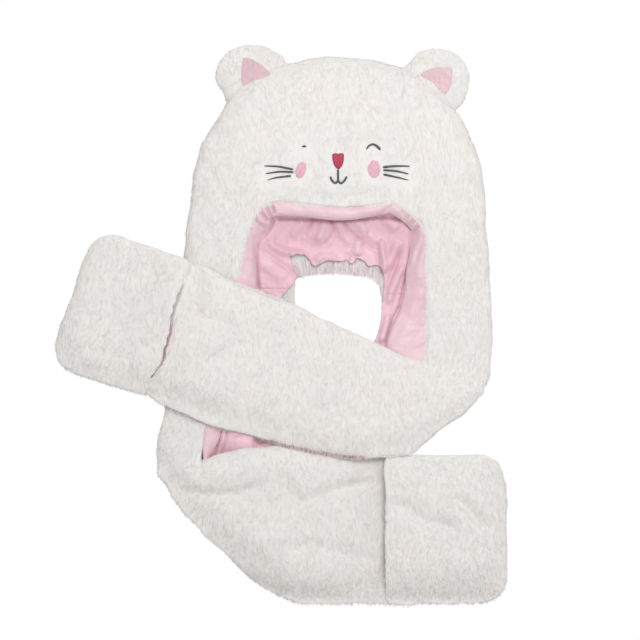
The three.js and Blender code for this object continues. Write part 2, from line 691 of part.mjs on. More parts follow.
// Ears, and the patches on them that follow their round tops.
const earLevel = earLoft * 0.7;
function earForm(ear, grow) {
  const geometry = new THREE.SphereGeometry(1, 20, 10);
  geometry.rotateX(Math.PI / 2);
  geometry.scale(earRadius + grow, earRadius + grow, earLoft / 2 + grow);
  geometry.translate(ear.across * halfHood, templesY + ear.up * crownLength, earLevel);
  return solidFrom(geometry);
}
function patchOutline(ear) {
  const corners = patchCorners[ear.side].map(
    ({ x, y }) =>
      new THREE.Vector3(
        ear.across * halfHood + x * earRadius,
        templesY + ear.up * crownLength + y * earRadius,
        0,
      ),
  );
  const curve = new THREE.CatmullRomCurve3(corners, true, "centripetal");
  return curve.getSpacedPoints(18).slice(0, 18).map((point) => new THREE.Vector2(point.x, point.y));
}
for (const ear of ears) {
  const form = earForm(ear, 0).subtract(pouch(-sewnGap));
  addPiece(`ear_${ear.side}`, mainBody(form), furMaterial);
  const skin = earForm(ear, sewnGap + patchWall).subtract(earForm(ear, sewnGap));
  const patch = skin.intersect(prism(patchOutline(ear), earLevel, hoodLoft)).subtract(pouch(-sewnGap));
  addPiece(`ear_inner_${ear.side}`, mainBody(patch), liningMaterial);
}

// Embroidery that follows the hood's upper side.
const overFur = pouch(-(sewnGap + patchWall)).subtract(pouch(-sewnGap));
const stitched = (outline) => mainBody(overFur.intersect(prism(outline, hoodLoft * 0.6, hoodLoft * 2)));
const motifPoint = ({ x, y }) => new THREE.Vector3(noseX + x * motifSpan, noseY + y * motifSpan, 0);
function strokeOutline(points) {
  const curve = new THREE.CatmullRomCurve3(points.map(motifPoint), false, "centripetal");
  const steps = points.length > 2 ? points.length * 3 : 2;
  const sides = [1, -1].map((side) => edgePoints(curve, steps, () => (side * threadWidth) / 2));
  return [...sides[0], ...sides[1].reverse()];
}
function roundOutline(centre, wide, high) {
  const middle = motifPoint(centre);
  const ellipse = new THREE.EllipseCurve(middle.x, middle.y, (wide * motifSpan) / 2, (high * motifSpan) / 2);
  return ellipse.getPoints(20).slice(0, 20);
}
const nosePoints = nose.map(motifPoint).map((point) => new THREE.Vector2(point.x, point.y));
addPiece("nose", stitched(nosePoints), noseMaterial);
addPiece("mouth", stitched(strokeOutline(mouthStem)).add(stitched(strokeOutline(mouthSmile))), threadMaterial);
for (const cheek of cheeks) {
  addPiece(`cheek_${cheek.side}`, stitched(roundOutline(cheek, cheek.wide, cheek.high)), cheekMaterial);
}
for (const side of ["left", "right"]) {
  const arc = eye.map(({ x, y }) => ({ x: side === "left" ? -x : x, y }));
  addPiece(`eye_${side}`, stitched(strokeOutline(arc)), threadMaterial);
  whiskers
    .filter((whisker) => whisker.side === side)
    .forEach(({ from, to }, i) =>
      addPiece(`whisker_${side}_${i + 1}`, stitched(strokeOutline([from, to])), threadMaterial),
    );
}

// The under arm, then the over arm that lies across it and the left leg.
const addArm = (name, pieces) => {
  addPiece(`scarf_${name}_fur`, pieces.fur, furMaterial);
  addPiece(`scarf_${name}_lining`, pieces.lining, liningMaterial);
  addPiece(`pocket_${name}`, pieces.panel, furMaterial);
  addPiece(`pocket_lining_${name}`, pieces.panelLining, liningMaterial);
};
addArm("under", armPieces(underArm, -1, []));
const leftLegRoom = furShell(sewnGap).add(liningShell(sewnGap)).trimByPlane([-1, 0, 0], 0);
const underArmRoomBelow = armBlock(underArm, {
  from: 0,
  to: 1.02,
  low: () => -1,
  high: (s) => Math.max(armTop(underArm, s), armBase(underArm, s) + pocketLoft) + sewnGap,
  widen: sewnGap,
});
addArm("over", armPieces(overArm, 1, [leftLegRoom, underArmRoomBelow, casingForm(2 * sewnGap)]));

export default scarf;
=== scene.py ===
import math
import bmesh
import bpy
import numpy as np
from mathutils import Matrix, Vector
from mathutils.bvhtree import BVHTree
from mathutils.kdtree import KDTree


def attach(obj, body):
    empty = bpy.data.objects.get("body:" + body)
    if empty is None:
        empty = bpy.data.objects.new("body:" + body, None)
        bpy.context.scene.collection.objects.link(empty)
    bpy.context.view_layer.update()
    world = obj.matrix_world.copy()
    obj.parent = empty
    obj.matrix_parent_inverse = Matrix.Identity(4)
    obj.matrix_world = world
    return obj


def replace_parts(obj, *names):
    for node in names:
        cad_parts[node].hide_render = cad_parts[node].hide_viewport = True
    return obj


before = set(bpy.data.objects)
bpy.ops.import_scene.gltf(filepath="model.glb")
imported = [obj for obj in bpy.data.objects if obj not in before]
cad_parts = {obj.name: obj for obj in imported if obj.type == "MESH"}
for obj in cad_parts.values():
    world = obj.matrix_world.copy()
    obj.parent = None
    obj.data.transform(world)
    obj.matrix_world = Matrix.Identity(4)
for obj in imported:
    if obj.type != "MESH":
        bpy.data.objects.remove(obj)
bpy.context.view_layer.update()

mm = 0.001
up = np.array([0.0, 0.0, 1.0])


# camera, floor and light

view = {
    "middle": (-18.24 * mm, -147.84 * mm),  # of the picture, on the floor
    "wide": 614.4 * mm,                     # what the picture takes in
    "level": 22 * mm,                       # height at which that holds
    "lens": 200.0,
    "sensor": 36.0,
}
light = {
    "keyPower": 10.5,        # watts
    "keySize": 0.9,          # metres
    "keyPlace": (0.17, 0.22, 1.30),
    "sky": (0.97, 0.985, 1.0),
    "skyStrength": 0.755,
    "floor": (0.72, 0.72, 0.72),
    "floorGlow": 1.02,       # to the eye the floor is a light table
    "floorSize": 9.0,
}


def setInputs(node, values):
    for name, value in values.items():
        node.inputs[name].default_value = value


def makeStage():
    distance = view["wide"] / 2 / (view["sensor"] / 2 / view["lens"])
    camera = bpy.data.objects.new("camera", bpy.data.cameras.new("camera"))
    camera.data.lens = view["lens"]
    camera.data.sensor_width = view["sensor"]
    camera.data.clip_end = 40
    camera.location = (*view["middle"], distance + view["level"])
    bpy.context.scene.collection.objects.link(camera)
    bpy.context.scene.camera = camera

    key = bpy.data.objects.new("key", bpy.data.lights.new("key", "AREA"))
    key.data.energy = light["keyPower"]
    key.data.shape = "DISK"
    key.data.size = light["keySize"]
    key.location = light["keyPlace"]
    aim = Vector((*view["middle"], 0)) - key.location
    key.rotation_euler = aim.to_track_quat("-Z", "Y").to_euler()
    bpy.context.scene.collection.objects.link(key)

    world = bpy.data.worlds.new("sky")
    world.use_nodes = True
    background = world.node_tree.nodes["Background"]
    setInputs(background, {"Color": (*light["sky"], 1), "Strength": light["skyStrength"]})
    bpy.context.scene.world = world
    bpy.context.scene.view_settings.view_transform = "Standard"

    half = light["floorSize"] / 2
    mesh = bpy.data.meshes.new("floor")
    corners = [(-half, -half, 0), (half, -half, 0), (half, half, 0), (-half, half, 0)]
    mesh.from_pydata(corners, [], [(0, 1, 2, 3)])
    floor = bpy.data.objects.new("floor", mesh)
    bpy.context.scene.collection.objects.link(floor)
    surface = bpy.data.materials.new("floor")
    surface.use_nodes = True
    nodes, links = surface.node_tree.nodes, surface.node_tree.links
    shader = nodes["Principled BSDF"]
    colour = (*light["floor"], 1)
    setInputs(shader, {"Base Color": colour, "Roughness": 0.9, "Specular IOR Level": 0.1})
    white = nodes.new("ShaderNodeEmission")
    white.inputs["Strength"].default_value = light["floorGlow"]
    seen = nodes.new("ShaderNodeLightPath")
    mix = nodes.new("ShaderNodeMixShader")
    links.new(seen.outputs["Is Camera Ray"], mix.inputs["Fac"])
    links.new(shader.outputs["BSDF"], mix.inputs[1])
    links.new(white.outputs["Emission"], mix.inputs[2])
    links.new(mix.outputs["Shader"], nodes["Material Output"].inputs["Surface"])
    mesh.materials.append(surface)


# materials

def newMaterial(name):
    material = bpy.data.materials.new(name)
    material.use_nodes = True
    nodes, links = material.node_tree.nodes, material.node_tree.links
    return material, nodes, links, nodes["Principled BSDF"]


def noiseRamp(nodes, links, scale, detail, colours, where=(0.35, 0.65), stretch=(1, 1, 1)):
    # object coordinates through a noise into a ramp of colours
    place = nodes.new("ShaderNodeTexCoord")
    noise = nodes.new("ShaderNodeTexNoise")
    setInputs(noise, {"Scale": scale, "Detail": detail})
    squeeze = nodes.new("ShaderNodeMapping")
    setInputs(squeeze, {"Scale": stretch})
    links.new(place.outputs["Object"], squeeze.inputs["Vector"])
    links.new(squeeze.outputs["Vector"], noise.inputs["Vector"])
    ramp = nodes.new("ShaderNodeValToRGB")
    for element, at, colour in zip(ramp.color_ramp.elements, where, colours):
        element.position = at
        element.color = (*colour, 1)
    links.new(noise.outputs["Fac"], ramp.inputs["Fac"])
    return ramp.outputs["Color"]


def addBump(nodes, links, shader, layers):
    # layers: (scale, detail, height in metres)
    normal = None
    for scale, detail, height in layers:
        place = nodes.new("ShaderNodeTexCoord")
        noise = nodes.new("ShaderNodeTexNoise")
        setInputs(noise, {"Scale": scale, "Detail": detail})
        bump = nodes.new("ShaderNodeBump")
        setInputs(bump, {"Strength": 1.0, "Distance": height})
        links.new(place.outputs["Object"], noise.inputs["Vector"])
        links.new(noise.outputs["Fac"], bump.inputs["Height"])
        if normal:
            links.new(normal, bump.inputs["Normal"])
        normal = bump.outputs["Normal"]
    links.new(normal, shader.inputs["Normal"])


plush = {
    "warm": (0.72, 0.695, 0.672),
    "cool": (0.71, 0.70, 0.683),
    "root": (0.705, 0.69, 0.672),
    "patch": 26.0,      # noise scale of the warm and cool patches
    "through": 0.5,     # light that comes through a tuft
    "past": 0.95,       # light that goes past it
}


def plushBacking():
    material, nodes, links, shader = newMaterial("plush_backing")
    colour = noiseRamp(nodes, links, plush["patch"], 3, (plush["root"], plush["warm"]))
    links.new(colour, shader.inputs["Base Color"])
    setInputs(shader, {"Roughness": 0.95, "Specular IOR Level": 0.15, "Sheen Weight": 0.25})
    addBump(nodes, links, shader, [(900, 4, 0.00005), (240, 3, 0.0001)])
    return material


def plushPile(name, deep, pale, scale, through, stretch=(1, 1, 1)):
    material, nodes, links, shader = newMaterial(name)
    colour = noiseRamp(nodes, links, scale, 3, (deep, pale), stretch=stretch)
    links.new(colour, shader.inputs["Base Color"])
    setInputs(shader, {"Roughness": 0.85, "Specular IOR Level": 0.2})
    glow = nodes.new("ShaderNodeBsdfTranslucent")
    links.new(colour, glow.inputs["Color"])
    mix = nodes.new("ShaderNodeMixShader")
    mix.inputs["Fac"].default_value = through
    links.new(shader.outputs["BSDF"], mix.inputs[1])
    links.new(glow.outputs["BSDF"], mix.inputs[2])
    # a tuft is finer than its triangle, so most light passes it by
    clear = nodes.new("ShaderNodeBsdfTransparent")
    thin = nodes.new("ShaderNodeMixShader")
    thin.inputs["Fac"].default_value = plush["past"]
    links.new(mix.outputs["Shader"], thin.inputs[1])
    links.new(clear.outputs["BSDF"], thin.inputs[2])
    ray = nodes.new("ShaderNodeLightPath")
    last = nodes.new("ShaderNodeMixShader")
    links.new(ray.outputs["Is Shadow Ray"], last.inputs["Fac"])
    links.new(mix.outputs["Shader"], last.inputs[1])
    links.new(thin.outputs["Shader"], last.inputs[2])
    links.new(last.outputs["Shader"], nodes["Material Output"].inputs["Surface"])
    return material


def satin(name, pale, deep):
    material, nodes, links, shader = newMaterial(name)
    colour = noiseRamp(nodes, links, 34, 4, (deep, pale), (0.3, 0.7))
    links.new(colour, shader.inputs["Base Color"])
    setInputs(shader, {"Roughness": 0.42, "Specular IOR Level": 0.35, "Sheen Weight": 0.5,
                       "Sheen Roughness": 0.4})
    grain = 0.00012
    addBump(nodes, links, shader, [(1500, 3, grain), (260, 3, grain * 3)])
    return material


def thread(name, pale, deep):
    material, nodes, links, shader = newMaterial(name)
    colour = noiseRamp(nodes, links, 500, 2, (deep, pale))
    links.new(colour, shader.inputs["Base Color"])
    setInputs(shader, {"Roughness": 0.5, "Specular IOR Level": 0.4})
    addBump(nodes, links, shader, [(3500, 2, 0.0001)])
    return material


print("materials")
materials = {
    "backing": plushBacking(),
    "pile": plushPile("plush_pile", plush["cool"], plush["warm"], plush["patch"], plush["through"]),
    "fringe": plushPile("fringe_pile", plush["cool"], plush["warm"], plush["patch"], 0.12),
    # trim pile: streaked like fibres, with painted shade and a painted pink reflection of the lining on fur
    # that is white
    "trim_painted_shade": plushPile("trim_pile_painted_shade", (0.56, 0.47, 0.475), (0.80, 0.745, 0.74), 800, 0.12, (1, 0.14, 1)),
    # slit pile: white fibres painted near black and brownish pink, a painted shadow in the arm's slit
    "slit_painted_shadow": plushPile("slit_pile_painted_shadow", (0.24, 0.17, 0.18), (0.64, 0.50, 0.51), 800, 0.12, (1, 0.14, 1)),
    "lining": satin("pink_lining", (0.74, 0.495, 0.555), (0.675, 0.415, 0.485)),
    "casing": satin("pink_casing", (0.72, 0.52, 0.555), (0.66, 0.445, 0.49)),
    "mouth": satin("pink_mouth", (0.70, 0.575, 0.595), (0.66, 0.51, 0.54)),
    "blush": satin("pink_patch", (0.66, 0.475, 0.505), (0.58, 0.385, 0.425)),
    "cheek": thread("cheek_thread", (0.67, 0.395, 0.455), (0.59, 0.31, 0.38)),
    "nose": thread("nose_thread", (0.41, 0.031, 0.070), (0.31, 0.022, 0.05)),
    "thread": thread("grey_thread", (0.085, 0.095, 0.09), (0.045, 0.05, 0.05)),
}


# cloth helpers

def solidArrays(name):
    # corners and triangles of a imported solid, its shared corners merged
    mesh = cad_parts[name].data
    points = pointsOf(mesh)
    _, first, same = np.unique(np.round(points, 6), axis=0, return_index=True, return_inverse=True)
    faces = same.reshape(-1)[trianglesOf(mesh)]
    real = (faces[:, 0] != faces[:, 1]) & (faces[:, 1] != faces[:, 2]) & (faces[:, 0] != faces[:, 2])
    return points[first], faces[real]


def trianglesOf(mesh):
    mesh.calc_loop_triangles()
    faces = np.empty(len(mesh.loop_triangles) * 3, int)
    mesh.loop_triangles.foreach_get("vertices", faces)
    return faces.reshape(-1, 3)


def meshFrom(name, points, faces):
    mesh = bpy.data.meshes.new(name)
    mesh.from_pydata(points.tolist(), [], faces if isinstance(faces, list) else faces.tolist())
    mesh.update()
    return mesh


def pieceFrom(name, mesh, material):
    piece = bpy.data.objects.new(name, mesh)
    bpy.context.scene.collection.objects.link(piece)
    mesh.materials.append(material)
    mesh.polygons.foreach_set("use_smooth", [True] * len(mesh.polygons))
    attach(piece, "root")
    return piece


def remeshed(points, faces, voxel):
    # the same form with even faces, as a mesh
    rough = bpy.data.objects.new("rough", meshFrom("rough", points, faces))
    bpy.context.scene.collection.objects.link(rough)
    modifier = rough.modifiers.new("even", "REMESH")
    modifier.mode = "VOXEL"
    modifier.voxel_size = voxel
    graph = bpy.context.evaluated_depsgraph_get()
    mesh = bpy.data.meshes.new_from_object(rough.evaluated_get(graph))
    bpy.data.objects.remove(rough)
    return mesh


def pointsOf(mesh):
    points = np.empty(len(mesh.vertices) * 3)
    mesh.vertices.foreach_get("co", points)
    return points.reshape(-1, 3)


def setPoints(mesh, points):
    mesh.vertices.foreach_set("co", points.ravel())
    mesh.update()


def normalsOf(mesh):
    normals = np.empty(len(mesh.vertices) * 3)
    mesh.vertex_normals.foreach_get("vector", normals)
    return normals.reshape(-1, 3)


def edgesOf(mesh):
    edges = np.empty(len(mesh.edges) * 2, int)
    mesh.edges.foreach_get("vertices", edges)
    return edges.reshape(-1, 2)


def smoothed(values, edges, rounds, share=0.5):
    # each value drawn towards the mean of its neighbours
    count = len(values)
    a, b = edges[:, 0], edges[:, 1]
    around = np.bincount(a, minlength=count) + np.bincount(b, minlength=count)
    around = np.maximum(around, 1)[:, None]
    flat = values.reshape(count, -1).copy()
    for _ in range(rounds):
        mean = np.stack(
            [
                np.bincount(a, flat[b, k], count) + np.bincount(b, flat[a, k], count)
                for k in range(flat.shape[1])
            ],
            axis=1,
        ) / around
        flat += share * (mean - flat)
    return flat.reshape(values.shape)


def unit(vectors):
    return vectors / np.linalg.norm(vectors, axis=1)[:, None]


def waves(points, length, seed, count=24):
    # a soft random field of about one wavelength, from -1 to 1
    random = np.random.default_rng(seed)
    directions = unit(random.normal(size=(count, 3)))
    rates = 2 * math.pi / length * random.uniform(0.6, 1.5, count)
    phases = random.uniform(0, 2 * math.pi, count)
    total = np.zeros(len(points))
    for direction, rate, phase in zip(directions, rates, phases):
        total += np.sin(points @ direction * rate + phase)
    return np.clip(total / math.sqrt(count) / 1.4, -1, 1)


def ripples(points, layers):
    # random fields laid over one another: depth, length and seed of each
    return sum(deep * waves(points, length, seed) for deep, length, seed in layers)


def smoothStep(x, low, high):
    t = np.clip((x - low) / (high - low), 0, 1)
    return t * t * (3 - 2 * t)


def treeOf(names):
    # a search tree over several solids
    points, faces, start = [], [], 0
    for name in names:
        p, f = solidArrays(name)
        points.append(p)
        faces.append(f + start)
        start += len(p)
    return BVHTree.FromPolygons(np.concatenate(points).tolist(), np.concatenate(faces).tolist())


def distanceTo(tree, points, limit):
    found = np.full(len(points), limit)
    for i, point in enumerate(points):
        hit = tree.find_nearest(Vector(point), limit)
        if hit[0] is not None:
            found[i] = hit[3]
    return found


motif = [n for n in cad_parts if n.startswith(("nose", "mouth", "cheek", "eye", "whisker"))]


# places are read off the picture, in its pixels

picture = {"pixel": 0.96 * mm, "zeroX": 339.0, "zeroY": 166.0}


def spot(x, y):
    # a place of the picture, on the floor
    across = (x - picture["zeroX"]) * picture["pixel"]
    return np.array([across, (picture["zeroY"] - y) * picture["pixel"], 0.0])


def curveThrough(places, count):
    # evenly spaced points on a smooth curve through places
    p = np.array([spot(*place) for place in places])
    p = np.concatenate([2 * p[:1] - p[1:2], p, 2 * p[-1:] - p[-2:-1]])
    fine = []
    for i in range(1, len(p) - 2):
        t = np.linspace(0, 1, 16, endpoint=False)[:, None]
        a, b, c, d = p[i - 1], p[i], p[i + 1], p[i + 2]
        bend = (2 * a - 5 * b + 4 * c - d) * t**2
        twist = (3 * b - a - 3 * c + d) * t**3
        fine.append(0.5 * (2 * b + (c - a) * t + bend + twist))
    fine = np.concatenate([*fine, p[-2:-1]])
    run = np.concatenate([[0], np.cumsum(np.linalg.norm(np.diff(fine, axis=0), axis=1))])
    at = np.linspace(0, run[-1], count)
    return np.stack([np.interp(at, run, fine[:, k]) for k in range(3)], axis=1)


def alongFold(points, path):
    # distance in plan from each point to a path, and how far along the path it lies
    p = np.array([spot(*place) for place in path])[:, :2]
    best, where = np.full(len(points), 9.0), np.zeros(len(points))
    lengths = np.linalg.norm(np.diff(p, axis=0), axis=1)
    before = np.concatenate([[0], np.cumsum(lengths)])
    for i in range(len(p) - 1):
        d = p[i + 1] - p[i]
        t = np.clip(((points[:, :2] - p[i]) @ d) / (d @ d), 0, 1)
        away = np.linalg.norm(points[:, :2] - p[i] - t[:, None] * d, axis=1)
        closer = away < best
        best[closer] = away[closer]
        where[closer] = (before[i] + t[closer] * lengths[i]) / before[-1]
    return best, where


def folded(points, folds):
    # height that a table of ridges and creases adds; a row holds height and half width in millimetres,
    # the path in pixels and, where it isn't a fifth, the share of the path that fades at each end
    total = np.zeros(len(points))
    for high, wide, path, *ends in folds:
        away, where = alongFold(points, path)
        ends = ends[0] if ends else 0.2
        fade = smoothStep(where, -0.01, ends) * (1 - smoothStep(where, 1 - ends, 1.01))
        total += high * mm * fade * np.exp(-((away / (wide * mm)) ** 2))
    return total


# plush: a soft backing, and a pile of tufts on it

fur = {
    "voxel": 2.0 * mm,
    "rounds": 14,              # how often the form is softened
    "sink": 0.6 * mm,          # the backing under the solid's face
    "swell": 1.9 * mm,         # how far steep sides stand out again after the softening
    "length": 5.0 * mm,
    "width": 0.5 * mm,
    "lean": (82, 4),           # degrees from upright, and their spread
    "perSquareMetre": 600000,
    "most": 195000,            # tufts of one piece
    "onFloor": 0.35,           # share of them that is left where the plush lies on the floor
    "root": 0.5 * mm,          # how far a tuft starts under the backing
    "swirl": 0.55,             # how far the nap wanders, in radians
    "stray": 0.35,             # how far single tufts stray from it
    "spin": 0.12,              # how far they turn about themselves
    "softness": 0.04,          # how far tufts catch light on their own
    "edgeLight": 0.45,         # how far the pile on steep sides catches light from above
    "flow": (0.0, -1.0, 0.0),
    "relief": [(0.9 * mm, 46 * mm, 40), (0.35 * mm, 15 * mm, 41), (0.15 * mm, 7 * mm, 42)],
    "nap": 38 * mm,                    # length over which the nap wanders
    "neighbours": 12 * mm,             # how far away other pieces are looked for
    "owned": 14 * mm,                  # how far a face may lie from the solid it stands for
    "covered": (0.8 * mm, 4.5 * mm),   # closer to other pieces than this the plush lies flat
    "stitched": (1.5 * mm, 9 * mm),    # closer to the embroidery than this it is pressed down
    "pressed": 0.8 * mm,
    "crowned": 30 * mm,                # the embroidery presses only plush above this
    "rests": 6 * mm,                   # plush below this loses its relief towards the floor
    "lowest": 0.3 * mm,
    "low": 1.2 * mm,                   # faces below this lie on the floor
    "ragged": [(0.9 * mm, 11 * mm, 61)],
}
ear = {
    "lift": 11 * mm,                   # how far an ear rises where it meets the crown
    "towards": (0.0, -30 * mm),        # middle of the crown
    "rise": (-14 * mm, 26 * mm),       # from where to where it rises, measured from its middle
    "thick": 20 * mm,
}
bridge = {  # plush that runs on past the end of a pocket's mouth
    "radius": 4.6 * mm,
    "beside": 9 * mm,                  # where its height is read
    "balls": 12,
}
fill = {  # of a valley
    "beside": 10 * mm,
    "above": (18 * mm, 25 * mm),       # only plush that is higher than this
    "steps": 40,
}
furGroups = [  # solids that run on into each other, and their folds
    {
        "names": ["hood_fur", "ear_left", "ear_right"],
        "folds": [
            (-1.2, 6, [(322, 141), (338, 146), (353, 142)]),
            (-0.6, 1.6, [(301, 108), (326, 107)]),
            (1.0, 7, [(368, 128), (384, 124)]),
            (0.8, 8, [(302, 124), (318, 128)]),
            (-1.6, 6, [(292, 196), (340, 199), (392, 195)]),
        ],
        "nudges": [
            ((277, 60), (4, -1), 8),
            ((248, 48), (0, 1), 22),
            ((436, 48), (0.5, 1.6), 22),
            ((408, 58), (3, 1), 9),
            ((212, 118), (3, 1), 20),
            ((252, 209), (4, 3), 9),
            ((247, 225), (2.6, 0.6), 6),
            ((412, 209), (-2, 3.4), 10),
            ((303, 279), (-3.5, -2), 8),
            ((296, 290), (-1.5, 0), 14),
            ((374, 277), (2.5, -2.5), 8),
            ((219, 91), (3.4, 0), 9),
            ((296, 60), (1, 2.4), 10),
            ((188, 180), (3, 0), 42),
            ((340, 55), (0, 2.5), 40),
        ],
    },
    {
        "names": ["scarf_under_fur", "pocket_under"],
        "folds": [
            (2.4, 9, [(196, 470), (250, 469), (300, 471), (340, 474), (384, 468)]),
            (-5.6, 6.5, [(172, 484), (190, 493), (212, 495), (234, 494), (254, 488), (272, 478)]),
            (-5.0, 6, [(278, 476), (287, 482), (295, 496), (301, 503), (316, 497), (332, 491), (384, 481)]),
            (2.0, 8, [(236, 505), (258, 512), (270, 500)]),
            (-2.6, 1.8, [(186, 468), (193, 467), (203, 462)]),
            (-4.0, 7, [(286, 548), (312, 545), (336, 552), (381, 561)]),
            (1.6, 8, [(268, 530), (262, 556)]),
            (-4.6, 5.5, [(390, 500), (422, 519), (463, 532)]),
            (-4.0, 5.5, [(452, 491), (473, 513), (492, 534)]),
            (1.8, 6, [(398, 488), (436, 505), (470, 520)]),
            (-1.6, 4, [(392, 470), (394, 540), (388, 592)]),
            (1.0, 4, [(380, 475), (382, 540), (376, 590)]),
        ],
        # edges that thin out: the share of the height that goes, the half width, and what lies below
        "slopes": [
            {"path": [(150, 466), (160, 478), (215, 546), (262, 588), (290, 599), (380, 601), (497, 599)],
             "drop": 0.5, "wide": 21, "base": 0},
            {"path": [(503, 480), (506, 540), (500, 590)], "drop": 0.2, "wide": 12, "base": 0},
            {"path": [(250, 582), (275, 597), (300, 602), (380, 603), (497, 602)],
             "drop": 0.62, "wide": 9, "base": 0},
        ],
        "nudges": [
            ((160, 484), (5, -2.6), 15),
            ((158, 449), (-2.5, 0), 20),
            ((159, 469.6), (-2.4, 0), 4),
            ((203, 462), (-4, 1.5), 9),
            ((160, 409), (4, 0), 16),
            ((251, 577), (-3.4, 1), 13),
            ((284, 600), (4, 0), 10),
            ((500, 472), (-3, 0), 12),
            ((204, 457), (0, 6), 8),
            ((250, 455), (0, -4), 16),
            ((286, 457), (0, -9), 22),
            ((330, 459), (0, -5), 24),
        ],
        "ragged": {"path": [(386, 462), (388, 500), (388, 545), (382, 598)], "wide": 4},
    },
    {
        "names": ["scarf_over_fur", "pocket_over"],
        "folds": [
            (-4.6, 8, [(188, 310), (212, 319), (238, 329)]),
            (2.4, 8, [(204, 334), (218, 352)]),
            (-2.6, 6, [(147, 266), (154, 272), (161, 279)]),
            (1.2, 3, [(151, 279), (160, 286)]),
            (1.6, 4, [(166, 270), (176, 279)]),
            (-1.2, 8, [(114, 256), (132, 266)]),
            (1.4, 8, [(78, 352), (110, 368)]),
            (-1.6, 3, [(129, 356), (131, 371)]),
            (1.2, 3, [(138, 353), (139, 366)]),
            (1.4, 8, [(190, 284), (183, 322), (174, 358)], 0.12),
            (-3.4, 1.9, [(183, 284), (177, 301), (169, 325), (163.4, 341), (156, 363)], 0.05),
            (-1.6, 4, [(157, 368), (150, 388)]),
        ],
        "valleys": [
            {"path": [(186, 284), (180, 301), (172.5, 325), (167, 341), (160, 361)],
             "wide": 6.5, "share": 0.95},
        ],
        "slopes": [
            {"path": [(60, 350), (72, 370), (150, 393), (166, 399)], "drop": 0.2, "wide": 15, "base": 4},
            {"path": [(160, 398), (240, 424), (330, 450), (400, 450), (440, 434), (486, 398)],
             "drop": 0.42, "wide": 15, "base": 18},
            {"path": [(60, 330), (76, 276), (92, 244)], "drop": 0.1, "wide": 12, "base": 4},
        ],
        "nudges": [
            ((62, 330), (-2.5, 1), 40),
            ((234, 282), (0, 1.5), 16),
            ((290, 307), (0, -4.4), 22),
            ((322, 321), (0, -3.4), 24),
            ((356, 333), (0, -1.6), 20),
            ((146, 395), (3, 0), 8),
            ((164, 338), (4.4, 0), 16),
            ((156, 361), (5.6, 0), 12),
            ((475, 408), (-4, -1), 10),
            ((490, 399), (-8, -2), 12),
            ((446, 431), (-2, -3), 26),
            ((84, 262), (-2, -2), 24),
            ((300, 443), (0, 6), 22),
            ((345, 450), (0, 6), 28),
        ],
        "ragged": {"path": [(181, 278), (174, 308), (168, 336), (162, 368)], "wide": 4},
        "bridges": [
            [(187, 266), (181, 280)],
            [(162, 366), (154, 388)],
        ],
    },
]


def motifPoints():
    found = []
    for name in motif:
        points, faces = solidArrays(name)
        found.append(points)
        found.append((points[faces[:, 0]] + points[faces[:, 1]]) / 2)
        found.append(points[faces].mean(axis=1))
    return np.concatenate(found)


def buildMotifTree():
    points = motifPoints()
    tree = KDTree(len(points))
    for i, (x, y, _) in enumerate(points):
        tree.insert((x, y, 0), i)
    tree.balance()
    return tree


motifTree = buildMotifTree()


def motifDistance(points):
    # distance in plan to the embroidery
    return np.array([motifTree.find((x, y, 0))[2] for x, y in points[:, :2]])


def formFrom(points, faces):
    # an editable form, each face made once
    form = bmesh.new()
    corners = [form.verts.new(p) for p in points]
    for face in faces:
        if not form.faces.get([corners[i] for i in face]):
            form.faces.new([corners[i] for i in face])
    return form


def trimmed(points, faces, cuts):
    # what is left of a closed form behind each cut: a place on it and the direction that goes
    form = formFrom(points, faces)
    for place, away in cuts:
        everything = form.verts[:] + form.edges[:] + form.faces[:]
        bmesh.ops.bisect_plane(form, geom=everything, plane_co=place, plane_no=away, clear_outer=True)
        bmesh.ops.holes_fill(form, edges=[e for e in form.edges if e.is_boundary])
    bmesh.ops.triangulate(form, faces=form.faces[:])
    form.verts.index_update()
    left = np.array([v.co for v in form.verts])
    sides = np.array([[v.index for v in f.verts] for f in form.faces])
    form.free()
    return left, sides


def joinedAtSeam(name):
    # the solid with a stub of what is sewn to it past the seam, so that the plush runs on over the seam
    points, faces = solidArrays(name)
    for other, side in sewnTo.get(name, {}).items():
        above = other == "hood_fur"
        far = (0, seam["y"] + (seam["stub"] if above else -seam["stub"]), 0)
        cuts = [((0, 0, 0), (-side, 0, 0)), (far, (0, 1 if above else -1, 0))]
        more, sides = trimmed(*solidArrays(other), cuts)
        more[:, 1] += -seam["overlap"] if above else seam["overlap"]
        faces = np.concatenate([faces, sides + len(points)])
        points = np.concatenate([points, more])
    return points, faces


def cutAtSeam(mesh, name):
    # takes the stub off again
    if name not in sewnTo:
        return
    form = bmesh.new()
    form.from_mesh(mesh)
    away = -1 if name == "hood_fur" else 1
    near = [f for f in form.faces if name != "scarf_over_fur" or f.calc_center_median().x > 0]
    geometry = set(near) | {e for f in near for e in f.edges} | {v for f in near for v in f.verts}
    bmesh.ops.bisect_plane(form, geom=list(geometry), plane_co=(0, seam["y"], 0), plane_no=(0, away, 0),
                           clear_outer=True)
    form.to_mesh(mesh)
    form.free()
    mesh.update()


def closeAtSeam(mesh):
    # faces over the cut ends of the shell's wall
    form = bmesh.new()
    form.from_mesh(mesh)
    loose = [e for e in form.edges if e.is_boundary]
    rim = [e for e in loose if max(abs(v.co.y - seam["y"]) for v in e.verts) < 0.3 * mm]
    bmesh.ops.holes_fill(form, edges=rim, sides=0)
    form.to_mesh(mesh)
    form.free()
    mesh.update()


seam = {"y": -127.2 * mm, "stub": 26 * mm, "overlap": 0.6 * mm}  # where the arms are sewn to the hood
sewnTo = {
    "hood_fur": {"scarf_under_fur": -1, "scarf_over_fur": 1},
    "scarf_under_fur": {"hood_fur": -1},
    "scarf_over_fur": {"hood_fur": 1},
}


